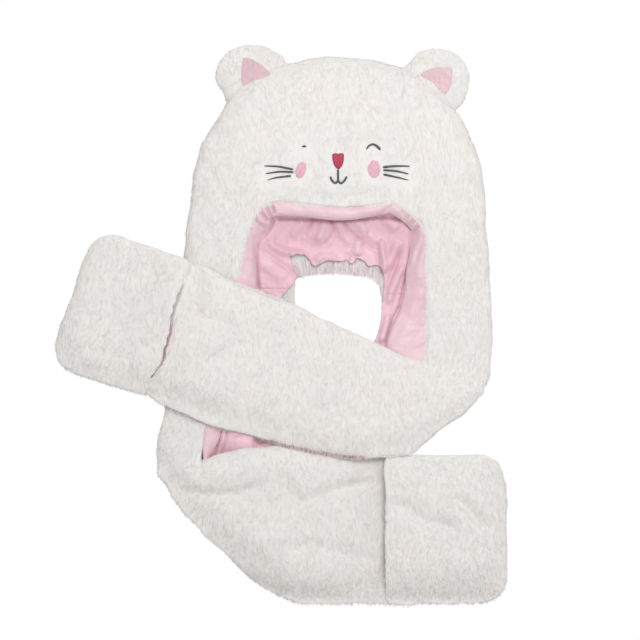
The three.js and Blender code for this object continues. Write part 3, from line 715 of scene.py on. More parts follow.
def topOf(tree, points, start=0.2):
    # height of a solid straight under each point
    found = np.zeros(len(points))
    for i, (x, y, _) in enumerate(points):
        hit = tree.ray_cast(Vector((x, y, start)), Vector((0, 0, -1)))
        found[i] = hit[0].z if hit[0] is not None else np.nan
    good = ~np.isnan(found)
    return np.interp(np.arange(len(found)), np.flatnonzero(good), found[good])


def nudged(points, nudges):
    # places of the form shifted in plan; a row holds the place, its shift and how far round it that holds
    moved = points.copy()
    for place, by, wide in nudges:
        shift = spot(*by) - spot(0, 0)
        away = np.linalg.norm(points[:, :2] - spot(*place)[:2], axis=1)
        away /= wide * picture["pixel"]
        moved += np.exp(-(away**2))[:, None] * shift
    return moved


def raisedEar(points):
    # an ear rises towards the crown, so that its plush runs on into the hood's
    middle = points.mean(axis=0)
    inward = np.array(ear["towards"]) - middle[:2]
    inward /= np.linalg.norm(inward)
    share = smoothStep((points[:, :2] - middle[:2]) @ inward, *ear["rise"])
    raised = points.copy()
    raised[:, 2] += ear["lift"] * share * np.clip(points[:, 2] / ear["thick"], 0, 1)
    return raised


def ballsAlong(places, tree):
    # a row of balls that reach up to the plush beside them
    path = curveThrough(places, bridge["balls"])
    aside = np.array([bridge["beside"], 0, 0])
    level = topOf(tree, path - aside) / 2 + topOf(tree, path + aside) / 2
    form = bmesh.new()
    bmesh.ops.create_icosphere(form, subdivisions=2, radius=bridge["radius"])
    form.verts.index_update()
    ball = np.array([v.co for v in form.verts])
    sides = np.array([[v.index for v in f.verts] for f in form.faces])
    form.free()
    centres = path + up * (level - bridge["radius"])[:, None]
    points = (centres[:, None, :] + ball[None]).reshape(-1, 3)
    faces = (np.arange(len(path))[:, None, None] * len(ball) + sides[None]).reshape(-1, 3)
    return points, faces


def softForm(group):
    # one even, softened form over the solids of a group
    names = group["names"]
    forms = [joinedAtSeam(names[0])]
    for name in names[1:]:
        points, faces = solidArrays(name)
        forms.append((raisedEar(points) if name.startswith("ear") else points, faces))
    for path in group.get("bridges", []):
        forms.append(ballsAlong(path, treeOf(names)))
    starts = np.cumsum([0] + [len(points) for points, _ in forms[:-1]])
    points = np.concatenate([points for points, _ in forms])
    faces = np.concatenate([faces + start for (_, faces), start in zip(forms, starts)])
    mesh = remeshed(points, faces, fur["voxel"])
    setPoints(mesh, smoothed(pointsOf(mesh), edgesOf(mesh), fur["rounds"]))
    cutAtSeam(mesh, names[0])
    return mesh


def ownersOf(names, centres):
    # which solid each face came from
    owner = np.zeros(len(centres), int)
    for i, name in enumerate(names[1:], 1):
        away = distanceTo(treeOf([name]), centres, fur["owned"])
        close = np.flatnonzero(away < fur["owned"])
        first = distanceTo(treeOf(names[:1]), centres[close], fur["owned"])
        owner[close[away[close] < first]] = i
    return owner


def fillValley(points, valley, tree):
    # brings a valley's floor up towards the height of both its sides
    away, where = alongFold(points, valley["path"])
    path = curveThrough(valley["path"], fill["steps"])
    aside = np.array([fill["beside"], 0, 0])
    level = (topOf(tree, path - aside) + topOf(tree, path + aside)) / 2
    goal = np.interp(where, np.linspace(0, 1, fill["steps"]), level)
    share = valley["share"] * np.exp(-((away / (valley["wide"] * mm)) ** 2))
    share *= smoothStep(points[:, 2], *fill["above"])
    points[:, 2] += share * np.maximum(goal - points[:, 2], 0)


def thinEdges(points, slopes):
    # takes height from the plush along its thin edges
    for slope in slopes:
        away, _ = alongFold(points, slope["path"])
        share = slope["drop"] * np.exp(-((away / (slope["wide"] * mm)) ** 2))
        points[:, 2] -= share * np.maximum(points[:, 2] - slope["base"] * mm, 0)


def shapedPlush(group, mesh):
    # the backing's places with relief, folds and thin edges, and how far the pile on each may stand
    names = group["names"]
    edges, points, normals = edgesOf(mesh), pointsOf(mesh), normalsOf(mesh)
    apart = [*names, *motif, *sewnTo.get(names[0], {}), "ear_inner_left", "ear_inner_right"]
    others = treeOf([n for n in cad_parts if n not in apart])
    near = distanceTo(others, points, fur["neighbours"])
    bare = smoothed(smoothStep(near, *fur["covered"]), edges, 3)
    normals = unit(smoothed(normals, edges, 4))
    pressed = np.zeros(len(points))
    if "hood_fur" in names:
        pressed = 1 - smoothStep(motifDistance(points), *fur["stitched"])
        pressed = pressed * (normals[:, 2] > 0.3) * (points[:, 2] > fur["crowned"])
    dimple = bare * ripples(points, fur["relief"])
    lie = smoothStep(points[:, 2], 0, fur["rests"])
    points = points - normals * (fur["sink"] * bare * (0.35 + 0.65 * lie))[:, None]
    points = points + normals * (fur["swell"] * bare * (1 - normals[:, 2] ** 2))[:, None]
    points = points + normals * (dimple * lie)[:, None]
    for valley in group.get("valleys", []):
        fillValley(points, valley, treeOf(names))
    points[:, 2] += (folded(points, group["folds"]) * smoothStep(normals[:, 2], 0.1, 0.7)
                     - pressed * fur["pressed"])
    thinEdges(points, group.get("slopes", []))
    points[:, 2] = np.maximum(points[:, 2], fur["lowest"])
    points = nudged(points, group.get("nudges", []))
    if "ragged" in group:
        # the pocket's mouth isn't straight
        away, _ = alongFold(points, group["ragged"]["path"])
        share = np.exp(-((away / (group["ragged"]["wide"] * mm)) ** 2))
        points[:, 0] += share * ripples(points[:, :2] @ np.eye(2, 3), fur["ragged"])
    return points, bare * (1 - 0.62 * pressed)


def plushPiece(name, points, faces, normals):
    # the backing of one sub-part, lit as soft pile is
    mesh = meshFrom(name, points, faces)
    if name == "hood_fur":
        closeAtSeam(mesh)
    kind = "_plush" if name.startswith("ear") else "_skin"
    piece = pieceFrom(name + kind, mesh, materials["backing"])
    shade = unit(normals + up * fur["edgeLight"])
    mesh.normals_split_custom_set_from_vertices(shade.tolist())
    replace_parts(piece, name)
    return piece


def furGroup(group, seed):
    # backing and pile of each of a group's sub-parts
    names = group["names"]
    mesh = softForm(group)
    points, reach = shapedPlush(group, mesh)
    setPoints(mesh, points)
    normals = unit(smoothed(normalsOf(mesh), edgesOf(mesh), 2))
    faces = trianglesOf(mesh)
    owner = ownersOf(names, points[faces].mean(axis=1))
    made = {}
    for i, name in enumerate(names):
        used, own = np.unique(faces[owner == i], return_inverse=True)
        own = own.reshape(-1, 3)
        piece = plushPiece(name, points[used], own, normals[used])
        pile = growPile(name + "_pile", points[used], own, normals[used], reach[used], seed + 10 * i)
        print(name, len(own), "faces,", len(pile.data.polygons), "tufts")
        made[name] = (piece, pile)
    return made


def growPile(name, points, faces, normals, reach, seed):
    # tufts spread over the backing: where each stands, how it leans, and how it takes the light
    random = np.random.default_rng(seed)
    flow = np.array(fur["flow"])
    corners = points[faces]
    areas = np.linalg.norm(np.cross(corners[:, 1] - corners[:, 0], corners[:, 2] - corners[:, 0]), axis=1) / 2
    weights = areas * np.clip(reach[faces].mean(axis=1) - 0.12, 0, 1) ** 0.5
    low = corners[:, :, 2].mean(axis=1) < fur["low"]
    weights[low] *= fur["onFloor"]
    count = min(int(weights.sum() * fur["perSquareMetre"]), fur["most"])
    chosen = random.choice(len(faces), count, p=weights / weights.sum())
    u, v = random.random((2, count, 1))
    u, v = np.where(u + v > 1, 1 - u, u), np.where(u + v > 1, 1 - v, v)
    share = np.concatenate([1 - u - v, u, v], axis=1)
    root = (corners[chosen] * share[:, :, None]).sum(axis=1)
    normal = unit((normals[faces[chosen]] * share[:, :, None]).sum(axis=1))
    full = (reach[faces[chosen]] * share).sum(axis=1)

    swirl = fur["swirl"] * waves(root, fur["nap"], seed + 1) + fur["stray"] * random.normal(size=count)
    along = flow[None, :] - normal * (normal @ flow)[:, None]
    along /= np.maximum(np.linalg.norm(along, axis=1), 1e-6)[:, None]
    aside = np.cross(normal, along)
    along = along * np.cos(swirl)[:, None] + aside * np.sin(swirl)[:, None]
    lean = np.radians(fur["lean"][0] + fur["lean"][1] * random.normal(size=count))
    lean = np.clip(lean + (1 - full) * 0.5, 0.2, 1.45)
    tilt = along * np.sin(lean)[:, None] + normal * np.cos(lean)[:, None]
    length = fur["length"] * (0.75 + 0.35 * random.random(count)) * (0.35 + 0.65 * full)
    tip = root + tilt * length[:, None]
    tip[:, 2] = np.maximum(tip[:, 2], 0.1 * mm)
    spin = random.normal(0, fur["spin"], count)
    side = np.cross(normal, along)
    side = side * np.cos(spin)[:, None] + along * np.sin(spin)[:, None]
    side *= fur["width"] * (0.7 + 0.6 * random.random(count))[:, None] / 2
    foot = root - tilt * fur["root"]
    # each tuft faces out, as the plush under it does
    turned = (np.cross(2 * side, tip - foot + side) * normal).sum(axis=1) < 0
    side[turned] *= -1
    tufts = np.stack([foot - side, foot + side, tip], axis=1).reshape(-1, 3)
    lit = unit(normal + up * fur["edgeLight"] + fur["softness"] * random.normal(size=(count, 3)) * 0.6)

    pileMesh = bpy.data.meshes.new(name)
    pileMesh.vertices.add(3 * count)
    pileMesh.vertices.foreach_set("co", tufts.ravel())
    pileMesh.loops.add(3 * count)
    pileMesh.loops.foreach_set("vertex_index", np.arange(3 * count))
    pileMesh.polygons.add(count)
    pileMesh.polygons.foreach_set("loop_start", np.arange(0, 3 * count, 3))
    pileMesh.update(calc_edges=True)
    pile = pieceFrom(name, pileMesh, materials["pile"])
    pileMesh.normals_split_custom_set_from_vertices(np.repeat(lit, 3, axis=0).tolist())
    return pile


makeStage()
print("stage")
furPieces = {}
for i, group in enumerate(furGroups):
    furPieces.update(furGroup(group, 100 * (i + 1)))


# pink cloth round the face

faceEdge = [  # the plush's edge round the face, from the left arm up, across and down to the right arm
    (205, 478), (204, 450), (206, 424), (215, 376), (226, 328), (237, 284), (242, 256), (247, 234),
    (255.5, 215), (265, 206.5), (279, 203.5), (304, 205), (328, 208), (352, 209), (375, 206), (391, 203),
    (405, 209.6), (417.5, 220.4), (426, 234), (427, 250), (426, 272), (428, 290), (428, 315), (426, 337),
    (427, 372),
]
liningHem = [  # the lining's own edge round the neck, in the same order
    (302, 478), (299, 440), (291, 380), (283, 330), (280, 303), (286, 291), (294, 282), (296, 273),
    (290, 263), (288, 257), (296, 254), (304, 255), (309, 259), (314, 265), (321, 263), (329, 260),
    (339, 261), (346, 260), (352, 263), (358, 258), (364, 261), (369, 266), (376, 265), (382, 268),
    (384, 277), (384, 290), (382, 305), (381, 322), (377, 336), (372, 350), (378, 375),
]
liningFolds = [  # ridges and creases of the flat lining
    (-2.4, 1.7, [(314, 214), (311, 224), (304, 238)]),
    (2.8, 4, [(306, 212), (300, 226), (290, 238)]),
    (-3.2, 1.7, [(329, 214), (334, 228), (329, 238), (322, 246)]),
    (3.0, 3.6, [(324, 212), (324, 228), (316, 243)]),
    (-3.2, 1.7, [(340, 214), (348, 229), (366, 244), (384, 256)]),
    (3.4, 4, [(336, 214), (343, 234), (352, 246)]),
    (3.4, 4, [(352, 214), (366, 232), (381, 244)]),
    (-1.4, 1.5, [(366, 214), (366, 226), (371, 236)]),
    (4.2, 5, [(384, 216), (392, 224), (398, 230)]),
    (4.4, 4.6, [(358, 238), (358, 256)]),
    (-1.8, 3, [(346, 252), (350, 262)]),
    (4.2, 3.4, [(268, 243), (283, 251), (299, 254), (309, 257)], 0.1),
    (-2.6, 2.4, [(258, 248), (272, 257), (286, 268), (297, 276)]),
    (2.6, 3.6, [(257, 242), (266, 236), (276, 240)]),
    (2.4, 5, [(260, 262), (274, 272), (288, 279)]),
    (-2.4, 1.7, [(262, 293), (272, 298), (279, 301)]),
    (2.2, 3.4, [(314, 262), (322, 256), (338, 257)]),
    (6.5, 3.0, [(381, 238), (384, 258), (385, 274)], 0.15),
    (-2.0, 2.0, [(376, 240), (378, 258), (379, 268)]),
    (-4.0, 1.8, [(404, 242), (396, 264), (388, 284), (384, 291)]),
    (4.6, 3.4, [(399, 240), (391, 258), (387, 270)]),
    (4.6, 3.4, [(405, 262), (398, 276), (392, 290), (388, 306)]),
    (-4.5, 2.2, [(274, 217), (271, 226), (264, 236), (257, 244), (256, 262), (258, 290)], 0.05),
    (-4.5, 2.2, [(404, 219), (412, 231), (411, 240), (410, 260), (406, 281), (403, 296), (400, 312),
                 (397, 326), (388, 346)], 0.05),
    (-6.0, 2.4, [(276, 218), (314, 219), (331, 220.5), (358, 219), (378, 217), (404, 219)], 0.03),
    (1.8, 3, [(268, 262), (280, 268), (292, 272)]),
    (2.4, 6, [(300, 232), (318, 238), (334, 240)]),
    (-4.5, 3.0, [(403, 306), (396, 318), (391, 332), (386, 348)]),
    (3.6, 3.0, [(389, 312), (385, 328), (381, 344)]),
    (-3.0, 1.6, [(222, 430), (219, 442), (214, 454), (206, 462)], 0.05),
    (-3.0, 1.5, [(227, 430), (225, 441), (221, 455)], 0.05),
    (3.2, 1.8, [(224, 428), (222, 441), (217, 456)], 0.05),
    (9.0, 13, [(214, 438), (240, 441), (262, 446)], 0.3),
    (2.4, 7, [(236, 436), (240, 452)]),
    (-4.0, 3.0, [(252, 438), (258, 441), (266, 443)]),
    (3.6, 2.4, [(257, 449), (264, 446), (274, 447)]),
]
lining = {
    "level": 12.2 * mm,      # the flat lining over the floor
    "steps": 520,            # along the edges
    "rows": 72,              # from the hem out to the plush
    "tuckedIn": 9 * mm,      # how far it goes on under the plush
    "hemWave": (0.9 * mm, 7 * mm),    # depth and length
    "rise": 17 * mm,         # the back wall comes up to the roll
    "forehead": (-112 * mm, -58 * mm),     # from where to where up the hood it does
    "relief": [(0.5 * mm, 22 * mm, 5), (0.16 * mm, 7 * mm, 6)],
    "lowest": 9.8 * mm,
    "wall": 0.9 * mm,
    "seams": (-117.5 * mm, -122.4 * mm),   # where the hood's lining and the arms' meet, left and right
}


def insideOf(path):
    # unit directions from the edge towards the opening
    along = unit(np.gradient(path, axis=0))
    return np.stack([along[:, 1], -along[:, 0], np.zeros(len(path))], axis=1)


def gridFaces(rows, columns):
    index = np.arange(rows * columns).reshape(rows, columns)
    return np.stack([index[:-1, :-1], index[1:, :-1], index[1:, 1:], index[:-1, 1:]], axis=-1).reshape(-1, 4)


def thickened(piece):
    # a sheet given its thickness
    solid = piece.modifiers.new("wall", "SOLIDIFY")
    solid.thickness = lining["wall"]
    solid.offset = -1
    return piece


def clothOf(name, grid, material, keep):
    # a sheet from the part of a grid of points that is kept
    rows, columns = grid.shape[:2]
    faces = gridFaces(rows, columns)
    points = grid.reshape(-1, 3)
    faces = faces[keep(points[faces].mean(axis=1))]
    used, faces = np.unique(faces, return_inverse=True)
    mesh = meshFrom(name, points[used], faces.reshape(-1, 4))
    return thickened(pieceFrom(name, mesh, material))


def flatLining():
    count = lining["steps"]
    inner = curveThrough(liningHem, count)
    outer = curveThrough(faceEdge, count)
    atForehead = smoothStep(outer[:, 1], *lining["forehead"])
    outer = outer - insideOf(outer) * lining["tuckedIn"]
    deep, length = lining["hemWave"]
    ripple = waves(inner, length, 3)
    inner = inner + insideOf(inner) * (deep * 0.6 * ripple)[:, None]
    share = np.linspace(0, 1, lining["rows"])[:, None]
    grid = inner[None] * (1 - share[:, :, None]) + outer[None] * share[:, :, None]
    flat = grid.reshape(-1, 3)
    height = lining["level"] + folded(flat, liningFolds)
    height += ripples(flat, lining["relief"])
    height += (deep * np.exp(-((share * 14) ** 2)) * ripple).ravel()
    height += (lining["rise"] * smoothStep(share, 0.2, 0.95) * atForehead).ravel()
    flat[:, 2] = np.maximum(height, lining["lowest"])
    return flat.reshape(grid.shape)


casing = {
    "seams": (-120 * mm, -115.6 * mm),     # where the roll and the arms' facings meet, left and right
    "crest": 2.4 * mm,        # its top under the plush's
    "lowTop": 26 * mm,        # the plush's top along the arms
    "roll": 9 * mm,           # thickness of the roll over the forehead
    "forehead": (-62 * mm, -44 * mm),      # from where to where up the hood the strip turns into the roll
    "beside": 5 * mm,         # where the plush's top is read
    "overLining": 0.6 * mm,
    "relief": [(0.35 * mm, 16 * mm, 8), (0.12 * mm, 6 * mm, 9)],
    "steps": 1100,
    "round": 26,
    "wide": [  # a place on the plush's edge, and the width of the pink strip there, in pixels
        ((205, 470), 2), ((205, 462), 4), ((206, 440), 15), ((215, 376), 22), ((226, 328), 24),
        ((237, 284), 20), ((243, 252), 12.5), ((247, 234), 15), ((250, 225), 17), ((254, 215), 18),
        ((258, 209), 16), ((264, 205), 13), ((300, 205), 12), ((337, 207), 12), ((375, 206), 9.5),
        ((386, 204), 11), ((405, 208), 11), ((421, 222), 11), ((426, 236), 14.5), ((427, 256), 17),
        ((428, 293), 24), ((428, 322), 31), ((427, 345), 40), ((427, 370), 44),
    ],
    # how the strip's profile runs across and up, flat at the cheeks and round over the forehead
    "sideAcross": (-0.2, 0.02, 0.22, 0.50, 0.76, 0.93, 1.0, 0.96, 0.80),
    "sideHeight": (0.72, 0.94, 1.0, 0.86, 0.66, 0.50, 0.30, 0.08, 0.0),
    "rollAcross": (-0.42, -0.06, 0.22, 0.52, 0.80, 1.0, 1.02, 0.86, 0.60),
    "rollHeight": (0.45, 0.84, 1.0, 0.98, 0.78, 0.42, 0.05, -0.25, -0.35),
}
casingFolds = [  # creases and ridges of the gathered corners
    (-4.0, 6, [(222, 300), (239, 289), (258, 296)]),
    (1.4, 3, [(243, 225), (241, 250), (236, 276)]),
    (-1.4, 1.6, [(247, 240), (244, 262), (242, 284)]),
    (1.6, 3, [(422, 252), (418, 268), (417, 282)]),
    (1.8, 4, [(424, 290), (414, 302), (408, 318)]),
    (-1.8, 2.6, [(426, 305), (418, 318), (410, 330)]),
    (-4.2, 1.2, [(270, 202), (273, 208), (275, 215)], 0.1),
    (-2.6, 1.1, [(264, 204), (268, 211), (272, 219)], 0.1),
    (-2.8, 1.3, [(257, 208), (263, 215), (269, 223)], 0.1),
    (-2.2, 1.3, [(252, 217), (257, 223), (264, 229)], 0.1),
    (-1.8, 1.4, [(249, 226), (252, 236), (257, 242)]),
    (1.5, 1.4, [(267, 204), (271, 210), (274, 217)]),
    (1.6, 1.8, [(261, 206), (266, 213), (270, 220)]),
    (1.6, 2.0, [(254, 212), (260, 219), (266, 226)]),
    (-1.0, 1.6, [(246, 236), (249, 250), (248, 266)]),
    (1.2, 2.4, [(252, 240), (252, 262), (251, 280)]),
    (-0.8, 1.2, [(300, 203), (303, 210)]),
    (-0.6, 1.4, [(322, 205), (325, 212), (324, 217)]),
    (-0.6, 1.4, [(352, 206), (350, 214)]),
    (-2.6, 1.4, [(391, 203), (387, 209), (381, 215)], 0.1),
    (1.2, 2.4, [(386, 204), (394, 208), (401, 214)]),
    (-2.4, 1.2, [(402, 205), (403, 211), (405, 218)], 0.1),
    (-3.0, 1.1, [(411, 209), (409, 214), (404, 221)], 0.1),
    (-3.2, 1.2, [(417, 215), (413, 221), (407, 226)], 0.1),
    (-4.2, 1.3, [(423, 224), (417, 228), (411, 233)], 0.1),
    (1.5, 1.6, [(414, 212), (411, 218), (406, 223)]),
    (1.6, 1.7, [(421, 219), (415, 224), (409, 229)]),
    (-1.6, 2.2, [(426, 233), (419, 248), (414, 264)]),
    (1.4, 2.6, [(421, 236), (414, 252), (411, 268)]),
    (-1.6, 2.4, [(424, 322), (416, 332), (404, 341)]),
    (1.6, 4, [(410, 320), (400, 340), (392, 356)]),
    (-1.6, 2.2, [(426, 343), (415, 352)]),
]


def runOf(path):
    # length along a path up to each of its points
    return np.concatenate([[0], np.cumsum(np.linalg.norm(np.diff(path, axis=0), axis=1))])


def casingGrid():
    count = casing["steps"]
    path = curveThrough(faceEdge, count)
    inward = insideOf(path)
    top = topOf(furTree, path - inward * casing["beside"])
    top = np.where(path[:, 1] < seam["y"], np.minimum(top, casing["lowTop"]), top)
    line = np.stack([np.arange(count - 1), np.arange(1, count)], axis=1)
    top = smoothed(top, line, 60)
    inward = smoothed(inward, line, 40)
    run = runOf(path)
    where = [run[np.argmin(np.linalg.norm(path - spot(*place), axis=1))] for place, _ in casing["wide"]]
    wide = np.interp(run, where, [width * picture["pixel"] for _, width in casing["wide"]])
    wide = smoothed(wide, line, 60)
    overTop = smoothStep(path[:, 1], *casing["forehead"])
    crest = top - casing["crest"]
    low = lining["level"] + casing["overLining"]
    known = np.linspace(0, 1, len(casing["sideAcross"]))
    steps = np.linspace(0, 1, casing["round"])
    shape = {key: np.interp(steps, known, casing[key]) for key in
             ("sideAcross", "sideHeight", "rollAcross", "rollHeight")}
    rows = []
    for k in range(casing["round"]):
        across = wide * (shape["rollAcross"][k] * overTop + shape["sideAcross"][k] * (1 - overTop))
        side = low + (crest - low) * shape["sideHeight"][k]
        over = crest - casing["roll"] * (1 - shape["rollHeight"][k])
        rows.append(path + inward * across[:, None] + up * (over * overTop + side * (1 - overTop))[:, None])
    grid = np.array(rows)
    flat = grid.reshape(-1, 3)
    shut = np.repeat(smoothStep(steps, 0.05, 0.2) * (1 - smoothStep(steps, 0.8, 0.95)), count)
    flat[:, 2] += folded(flat, casingFolds) * shut
    flat[:, 2] += ripples(flat, casing["relief"])
    return flat.reshape(grid.shape)


halves = -8 * mm     # across, where the left cloths and the right ones part


def seamAt(points, seams):
    return np.where(points[:, 0] < halves, *seams)


def aboveSeam(seams):
    return lambda points: points[:, 1] > seamAt(points, seams)


def belowSeamOn(sign, seams):
    return lambda points: (points[:, 1] <= seamAt(points, seams)) & (sign * (points[:, 0] - halves) > 0)


print("pink cloth")
furTree = treeOf(["hood_fur", "scarf_under_fur", "scarf_over_fur"])
flat = flatLining()
roll = casingGrid()
hoodLining = clothOf("hood_lining_cloth", flat, materials["lining"], aboveSeam(lining["seams"]))
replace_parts(hoodLining, "hood_lining")
faceCasing = clothOf("face_casing_roll", roll, materials["casing"], aboveSeam(casing["seams"]))
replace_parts(faceCasing, "face_casing")
for side, sign in (("under", -1), ("over", 1)):
    cloth = clothOf("scarf_" + side + "_lining_cloth", flat, materials["lining"],
                    belowSeamOn(sign, lining["seams"]))
    facing = clothOf("scarf_" + side + "_facing", roll, materials["casing"],
                     belowSeamOn(sign, casing["seams"]))
    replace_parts(cloth, "scarf_" + side + "_lining")


mouths = {  # the pink strip beside a pocket's mouth: path and width in pixels, height over the arm's plush
    "pocket_lining_over": {
        "path": [(180.4, 281), (178.2, 288), (175, 299), (174.4, 308), (171.3, 318), (170.8, 326),
                 (168.8, 337), (165, 347), (165.8, 353), (163.6, 360), (163.2, 364)],
        "wide": 5.6, "lift": 2.0 * mm},
    "pocket_lining_under": {
        "path": [(387, 466), (389, 490), (390, 520), (389.6, 545), (387, 565), (385, 590)],
        "wide": 1.6, "lift": 0.75 * mm},
}


band = {
    "steps": 160,            # along a pocket's mouth
    "across": (-0.35, 1, 9),     # shares of the width, and how many rows between them
    "swell": (18 * mm, 21),  # length and seed of its uneven width
    "sag": 1.1 * mm,         # of its outer edge
    "wall": 0.5 * mm,
    "voxel": 1.2 * mm,       # of the lining inside the pocket
}


def mouthStrip(spec, tree):
    # a narrow band of lining on the arm, from the mouth outwards
    line = curveThrough(spec["path"], band["steps"])
    away = np.array([1.0, 0.0, 0.0]) * spec["wide"] * picture["pixel"]
    share = np.linspace(0, 1, band["steps"])
    swell = np.sin(math.pi * np.clip(share, 0.02, 0.98)) ** 0.5 * (1 + 0.3 * waves(line, *band["swell"]))
    rows = []
    for part in np.linspace(*band["across"]):
        row = line + away * (part * swell)[:, None]
        row[:, 2] = topOf(tree, row) + spec["lift"] - band["sag"] * max(part, 0) ** 2
        rows.append(row)
    grid = np.array([*rows, *[row - up * band["wall"] for row in rows[::-1]]])
    # the last row's faces come back to the first row, which closes the band
    return grid.reshape(-1, 3), gridFaces(len(grid) + 1, band["steps"]) % (len(grid) * band["steps"])


def surfaceUnder(pieces):
    # a search tree over pieces already made
    points, faces, start = [], [], 0
    for piece in pieces:
        points.append(pointsOf(piece.data))
        faces.append(trianglesOf(piece.data) + start)
        start += len(points[-1])
    return BVHTree.FromPolygons(np.concatenate(points).tolist(), np.concatenate(faces).tolist())


cloths = {}
for node, spec in mouths.items():
    arm = node.replace("pocket_lining", "scarf") + "_fur"
    points, faces = solidArrays(node)
    mesh = remeshed(points, faces, band["voxel"])
    strip, sides = mouthStrip(spec, surfaceUnder([furPieces[arm][0]]))
    own = [list(p.vertices) for p in mesh.polygons]
    own += (sides + len(mesh.vertices)).tolist()
    whole = meshFrom(node, np.concatenate([smoothed(pointsOf(mesh), edgesOf(mesh), 4), strip]), own)
    cloths[node] = pieceFrom(node + "_cloth", whole, materials["mouth"])
    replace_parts(cloths[node], node)
print("linings")


# embroidery and ear patches, laid on the plush

stitch = {
    "radius": 0.76 * mm,
    "pitch": 1.5 * mm,       # of the twist in a stroke
    "lift": 0.9 * mm,        # of a stroke's middle over the plush's backing
    "rings": 26,             # of a filled patch, from its middle out
    "turns": 200,            # round it
    "step": 0.3 * mm,        # along a stroke
    "sides": 10,             # of a stroke
    "oval": (1.15, 0.8),     # its width and height
    "base": 0.5 * mm,        # of a patch over the backing
    "rows": (0.10 * mm, 0.55 * mm),   # height and pitch of a patch's stitches
    "wrinkle": (0.5 * mm, 6 * mm),    # height and length of a cloth patch's wrinkles
    "hem": 0.3 * mm,
    "skirt": (1.3 * mm, 2.4 * mm),    # how far a patch's edge goes down
}
strokes = {  # paths, with how thick and how high each point of them lies
    "eye_left": {"path": [(298, 153), (300.4, 149.6), (304.2, 147.6), (308, 149.6), (311, 152.6)],
                 "thick": (0.6, 0.6, 1.0, 0.7, 0.6), "sunk": (3.0, 2.4, 0.35, 2.4, 3.0)},
    "eye_right": {"path": [(366, 150.6), (368.4, 147.4), (372.4, 145.6), (376.4, 147.4), (380, 151)],
                  "thick": (0.7, 0.85, 1.0, 1.2, 1.3), "sunk": (0.5, 0.1, 0, 0, 0)},
    "mouth": {"path": [(337.9, 170.5), (338, 181.5)], "thick": (1.0, 1.0), "sunk": (0, 0),
              "more": [[(330.2, 177.6), (332, 181.6), (335.4, 183.9), (338, 181.6)],
                       [(338, 181.6), (340.6, 184.1), (344, 182), (346.6, 177.4)]]},
    "whisker_left_1": {"path": [(264.6, 167), (278, 167.6), (293.6, 170.5)], "thick": (0.6, 0.9, 1.0),
                       "sunk": (0.5, 0, 0)},
    "whisker_left_2": {"path": [(266, 174.7), (280, 172.8), (294, 173.3)], "thick": (0.6, 0.9, 1.0),
                       "sunk": (0.5, 0, 0)},
    "whisker_left_3": {"path": [(264.4, 181.7), (277, 178.6), (291.4, 177)], "thick": (0.5, 0.8, 1.0),
                       "sunk": (1.5, 0.5, 0)},
    "whisker_right_1": {"path": [(382.4, 168.3), (395, 167.2), (409.4, 167.2)], "thick": (1.2, 0.9, 0.6),
                        "sunk": (0, 0, 0.4)},
    "whisker_right_2": {"path": [(382.8, 171.2), (395.6, 172.2), (408, 175)], "thick": (1.1, 0.9, 0.6),
                        "sunk": (0, 0, 0.4)},
    "whisker_right_3": {"path": [(382.8, 175.4), (397.8, 178.6), (412.4, 182.4)], "thick": (1.1, 0.8, 0.5),
                        "sunk": (0, 0.3, 1.7)},
}
patches = {  # outlines of filled patches, their doming and their stitches or wrinkles
    "nose": {"round": [(332.3, 155.4), (335.4, 154.6), (338, 155), (341, 154.5), (343.4, 155.2),
                       (343.7, 158.5), (343.2, 163.4), (341.4, 167.6), (338.2, 170.3), (335, 167.8),
                       (333, 163.4), (332.2, 158.8)],
             "name": "nose_stitched", "look": "nose", "dome": 1.0, "grain": "stitch"},
    "cheek_left": {"round": [(303, 162.8), (306, 166), (305.8, 172), (302.6, 177.6), (299, 179), (296, 176.4),
                             (295.8, 171), (298.6, 165.6)],
                   "name": "cheek_stitched_left", "look": "cheek", "dome": 0.7, "grain": "stitch"},
    "cheek_right": {"round": [(372.4, 161.3), (377.2, 163), (379.6, 168.6), (379, 174.4), (375.6, 178.4),
                              (371, 178), (368, 173), (368, 167)],
                    "name": "cheek_stitched_right", "look": "cheek", "dome": 0.7, "grain": "stitch"},
    "ear_inner_left": {"round": [(243.6, 58.4), (247.6, 58.2), (256, 62), (264, 67.6), (269.6, 74),
                                 (266.6, 77.6), (256, 80.6), (247, 84.4), (243.4, 86), (241.8, 80),
                                 (241.8, 72), (242.2, 64)],
                       "name": "ear_patch_left", "look": "blush", "dome": 1.0, "grain": "wrinkle"},
    "ear_inner_right": {"round": [(420.4, 76), (424, 72.4), (431, 69), (440, 67.8), (450.4, 68), (452, 71),
                                  (451.6, 80), (448.6, 90), (445, 94), (440, 91), (434, 84), (426, 79)],
                        "name": "ear_patch_right", "look": "blush", "dome": 1.0, "grain": "wrinkle"},
}


hoodTop = surfaceUnder([furPieces[name][0] for name in ("hood_fur", "ear_left", "ear_right")])


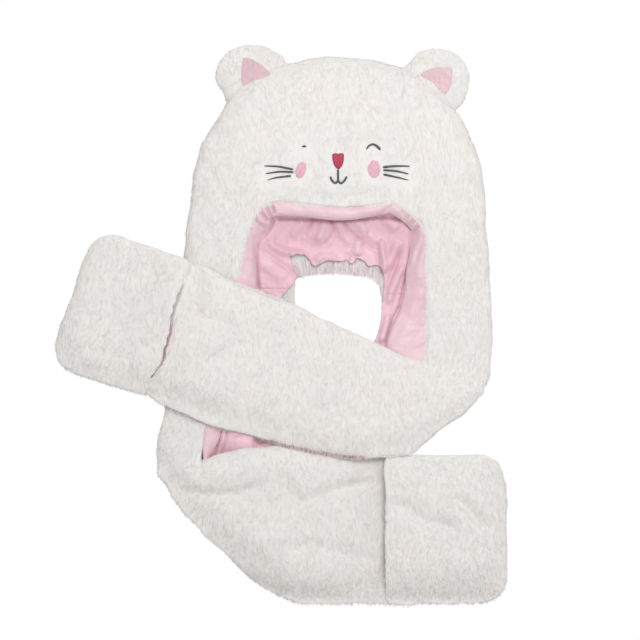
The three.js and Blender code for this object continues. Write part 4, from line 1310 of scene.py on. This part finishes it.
def cord(path, thick, sunk):
    # a stitched stroke: a thin twisted cord along a path on the plush
    count = max(12, int(runOf(curveThrough(path, 40))[-1] / stitch["step"]))
    line = curveThrough(path, count)
    share = np.linspace(0, 1, count)
    known = np.linspace(0, 1, len(thick))
    radius = stitch["radius"] * np.interp(share, known, thick)
    radius *= np.sqrt(np.clip(1 - (2 * share - 1) ** 16, 0.05, 1))
    line[:, 2] = topOf(hoodTop, line) + stitch["lift"] - np.interp(share, known, sunk) * mm
    along = unit(np.gradient(line, axis=0))
    aside = unit(np.cross(up, along))
    over = np.cross(along, aside)
    wide, high = stitch["oval"]
    rings = []
    for turn in np.linspace(0, 2 * math.pi, stitch["sides"], endpoint=False):
        twist = 1 + 0.22 * np.abs(np.sin(math.pi * runOf(line) / stitch["pitch"] + turn))
        rings.append(line + aside * (radius * wide * twist * math.cos(turn))[:, None]
                     + over * (radius * high * twist * math.sin(turn))[:, None])
    grid = np.array(rings + rings[:1])
    return grid.reshape(-1, 3), gridFaces(*grid.shape[:2])


def filledPatch(spec):
    # a closed outline filled from its middle out and laid on the plush
    edge = curveThrough([*spec["round"], *spec["round"][:1]], stitch["turns"] + 1)[:-1]
    middle = edge.mean(axis=0)
    share = np.concatenate([np.linspace(0.02, 1, stitch["rings"]), [1.03, 1.0]])
    grid = middle + (edge[None] - middle) * share[:, None, None]
    flat = grid.reshape(-1, 3)
    rim = np.repeat(np.clip(share, 0, 1), stitch["turns"])
    high = stitch["base"] + spec["dome"] * mm * np.sqrt(np.clip(1 - rim**3, 0, 1))
    if spec["grain"] == "stitch":
        deep, pitch = stitch["rows"]
        high += deep * np.abs(np.sin(math.pi * (flat[:, 0] + 0.25 * flat[:, 1]) / pitch))
    else:
        deep, length = stitch["wrinkle"]
        high += deep * waves(flat, length, 12) * (1 - rim**4) + stitch["hem"] * rim**8
    under = np.repeat([0.0] * stitch["rings"] + [*stitch["skirt"]], stitch["turns"])
    flat[:, 2] = topOf(hoodTop, flat) + high - under
    grid = flat.reshape(grid.shape)
    closed = np.concatenate([grid, grid[:, :1]], axis=1)
    return closed.reshape(-1, 3), gridFaces(*closed.shape[:2])


for node, spec in strokes.items():
    parts = [cord(path, spec["thick"], spec["sunk"]) for path in [spec["path"], *spec.get("more", [])]]
    starts = np.cumsum([0] + [len(p) for p, _ in parts[:-1]])
    mesh = meshFrom(node, np.concatenate([p for p, _ in parts]),
                    np.concatenate([f + s for (_, f), s in zip(parts, starts)]))
    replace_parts(pieceFrom(node + "_stitched", mesh, materials["thread"]), node)
patched = {}
for node, spec in patches.items():
    mesh = meshFrom(node, *filledPatch(spec))
    patched[node] = pieceFrom(spec["name"], mesh, materials[spec["look"]])
    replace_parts(patched[node], node)
print("embroidery")


# fringes: fibres that hang over an edge of the plush

fringes = {  # path of the roots, length of the fibres, how deep the roots go back, fibres for each millimetre
    # the neck fringe's fibres carry painted shade and a painted pink reflection of the lining
    "neck_fringe": {"path": [(301, 277), (303, 272.6), (316, 271.4), (340, 270.6), (366, 273), (378, 279),
                             (383, 287)],
                    "length": 7 * mm, "deep": 13 * mm, "dense": 58, "level": 9.8 * mm, "fall": 3.5 * mm,
                    "look": "trim_painted_shade", "side": 1},
    # the arm fringe's fibres are painted dark: painted shadow in the slit
    "arm_fringe": {"path": [(268, 441), (290, 447), (312, 451), (340, 456), (366, 458)],
                   "length": 4.5 * mm, "deep": 2 * mm, "dense": 8, "level": 27 * mm, "fall": 2 * mm,
                   "look": "slit_painted_shadow", "side": 1},
    "face_fringe": {"path": faceEdge[3:25], "length": 4.6 * mm, "deep": 1.6 * mm, "dense": 11,
                    "fall": 1.2 * mm, "look": "fringe", "side": 1},
    "over_fringe_left": {"path": [(224, 279), (236, 284), (262, 293), (284, 301.6)], "length": 3.4 * mm,
                         "deep": 1.2 * mm, "dense": 9, "fall": 1.0 * mm, "look": "fringe", "side": -1},
    "over_fringe_right": {"path": [(384, 344), (402, 352.6), (430, 363)], "length": 3.4 * mm,
                          "deep": 1.2 * mm, "dense": 9, "fall": 1.0 * mm, "look": "fringe", "side": -1},
    "low_fringe": {"path": [(198, 463), (213, 458), (240, 450.6), (262, 449), (280, 450)], "length": 3 * mm,
                   "deep": 1 * mm, "dense": 9, "fall": 1.0 * mm, "look": "fringe", "side": -1},
}


fibre = {
    "steps": 400,            # along the roots' path
    "scatter": 0.4 * mm,     # of the roots
    "stray": 0.34,           # of the directions
    "wide": 0.24 * mm,       # half of a fibre's root
    "inside": 1.5 * mm,      # where the plush's top is read
    "under": 0.5 * mm,       # that top
    "lowest": 1 * mm,
}


def fringe(name, spec, seed):
    random = np.random.default_rng(seed)
    line = curveThrough(spec["path"], fibre["steps"])
    inward = spec["side"] * insideOf(line)
    if "level" in spec:
        level = np.full(fibre["steps"], spec["level"])
    else:
        level = topOf(plushTop, line - inward * fibre["inside"]) - fibre["under"]
    count = int(runOf(line)[-1] / mm * spec["dense"])
    place = random.integers(0, fibre["steps"], count)
    back = random.uniform(0, 1, (count, 1)) * spec["deep"]
    root = line[place] - inward[place] * back + random.normal(0, fibre["scatter"], (count, 3)) * (1, 1, 0)
    root[:, 2] = level[place] + random.uniform(-0.6, 0.4, count) * mm
    aim = unit(inward[place] + fibre["stray"] * random.normal(size=(count, 3)) * (1, 1, 0.2))
    tip = root + aim * (spec["length"] * random.uniform(0.45, 1.0, count))[:, None]
    tip[:, 2] = np.maximum(tip[:, 2] - spec["fall"] * random.uniform(0.4, 1.0, count), fibre["lowest"])
    side = np.cross(up, aim) * fibre["wide"]
    points = np.stack([root - side, tip, root + side], axis=1).reshape(-1, 3)
    mesh = meshFrom(name, points, np.arange(3 * count).reshape(-1, 3))
    if mesh.polygons[0].normal.z < 0:
        mesh.flip_normals()
    piece = pieceFrom(name, mesh, materials[spec["look"]])
    lit = np.tile(up, (3 * count, 1)) + 0.15 * random.normal(size=(3 * count, 3))
    mesh.normals_split_custom_set_from_vertices(unit(lit).tolist())
    return piece


plushTop = surfaceUnder([furPieces[name][0] for name in ("hood_fur", "scarf_under_fur", "scarf_over_fur")])
fringed = {name: fringe(name, spec, 500 + i) for i, (name, spec) in enumerate(fringes.items())}
print("fringes")


# the rest of the linings, which the plush hides

def insidePolygon(points, path):
    # whether each point lies in plan inside a closed path
    ring = curveThrough([*path, path[0]], 400)
    x, y = points[:, 0], points[:, 1]
    inside = np.zeros(len(points), bool)
    for a, b in zip(ring[:-1], ring[1:]):
        crosses = (a[1] > y) != (b[1] > y)
        slope = (b[0] - a[0]) / (b[1] - a[1] if b[1] != a[1] else 1e-9)
        inside ^= crosses & (x < a[0] + (y - a[1]) * slope)
    return inside


hidden = {
    "longest": 7 * mm,     # edge of a face
    "lies": 1.4 * mm,      # a face farther than this from the plush looks into the hollow
    "reach": 30 * mm,      # how far the plush is looked for
    "wrinkle": [(0.35 * mm, 24 * mm, 71)],
}


def innerLining(node):
    # the faces of a lining that look into the hollow and aren't in the sheets already made
    form = formFrom(*solidArrays(node))
    for _ in range(5):
        long = [e for e in form.edges if e.calc_length() > hidden["longest"]]
        bmesh.ops.subdivide_edges(form, edges=long, cuts=1)
        bmesh.ops.triangulate(form, faces=[f for f in form.faces if len(f.verts) > 3])
    centres = np.array([f.calc_center_median() for f in form.faces])
    away = distanceTo(treeOf([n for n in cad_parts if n.endswith("_fur")]), centres, hidden["reach"])
    shown = insidePolygon(centres, [*faceEdge, (330, 480)])
    gone = [f for f, far, seen in zip(list(form.faces), away, shown) if far < hidden["lies"] or seen]
    bmesh.ops.delete(form, geom=gone, context="FACES")
    mesh = bpy.data.meshes.new(node + "_inner")
    form.to_mesh(mesh)
    form.free()
    places = pointsOf(mesh)
    setPoints(mesh, places + normalsOf(mesh) * ripples(places, hidden["wrinkle"])[:, None])
    piece = thickened(pieceFrom(node + "_inner", mesh, materials["lining"]))
    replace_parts(piece, node)
    print(piece.name, len(mesh.polygons), "faces")
    return piece


hoodInner = innerLining("hood_lining")
print("linings inside")
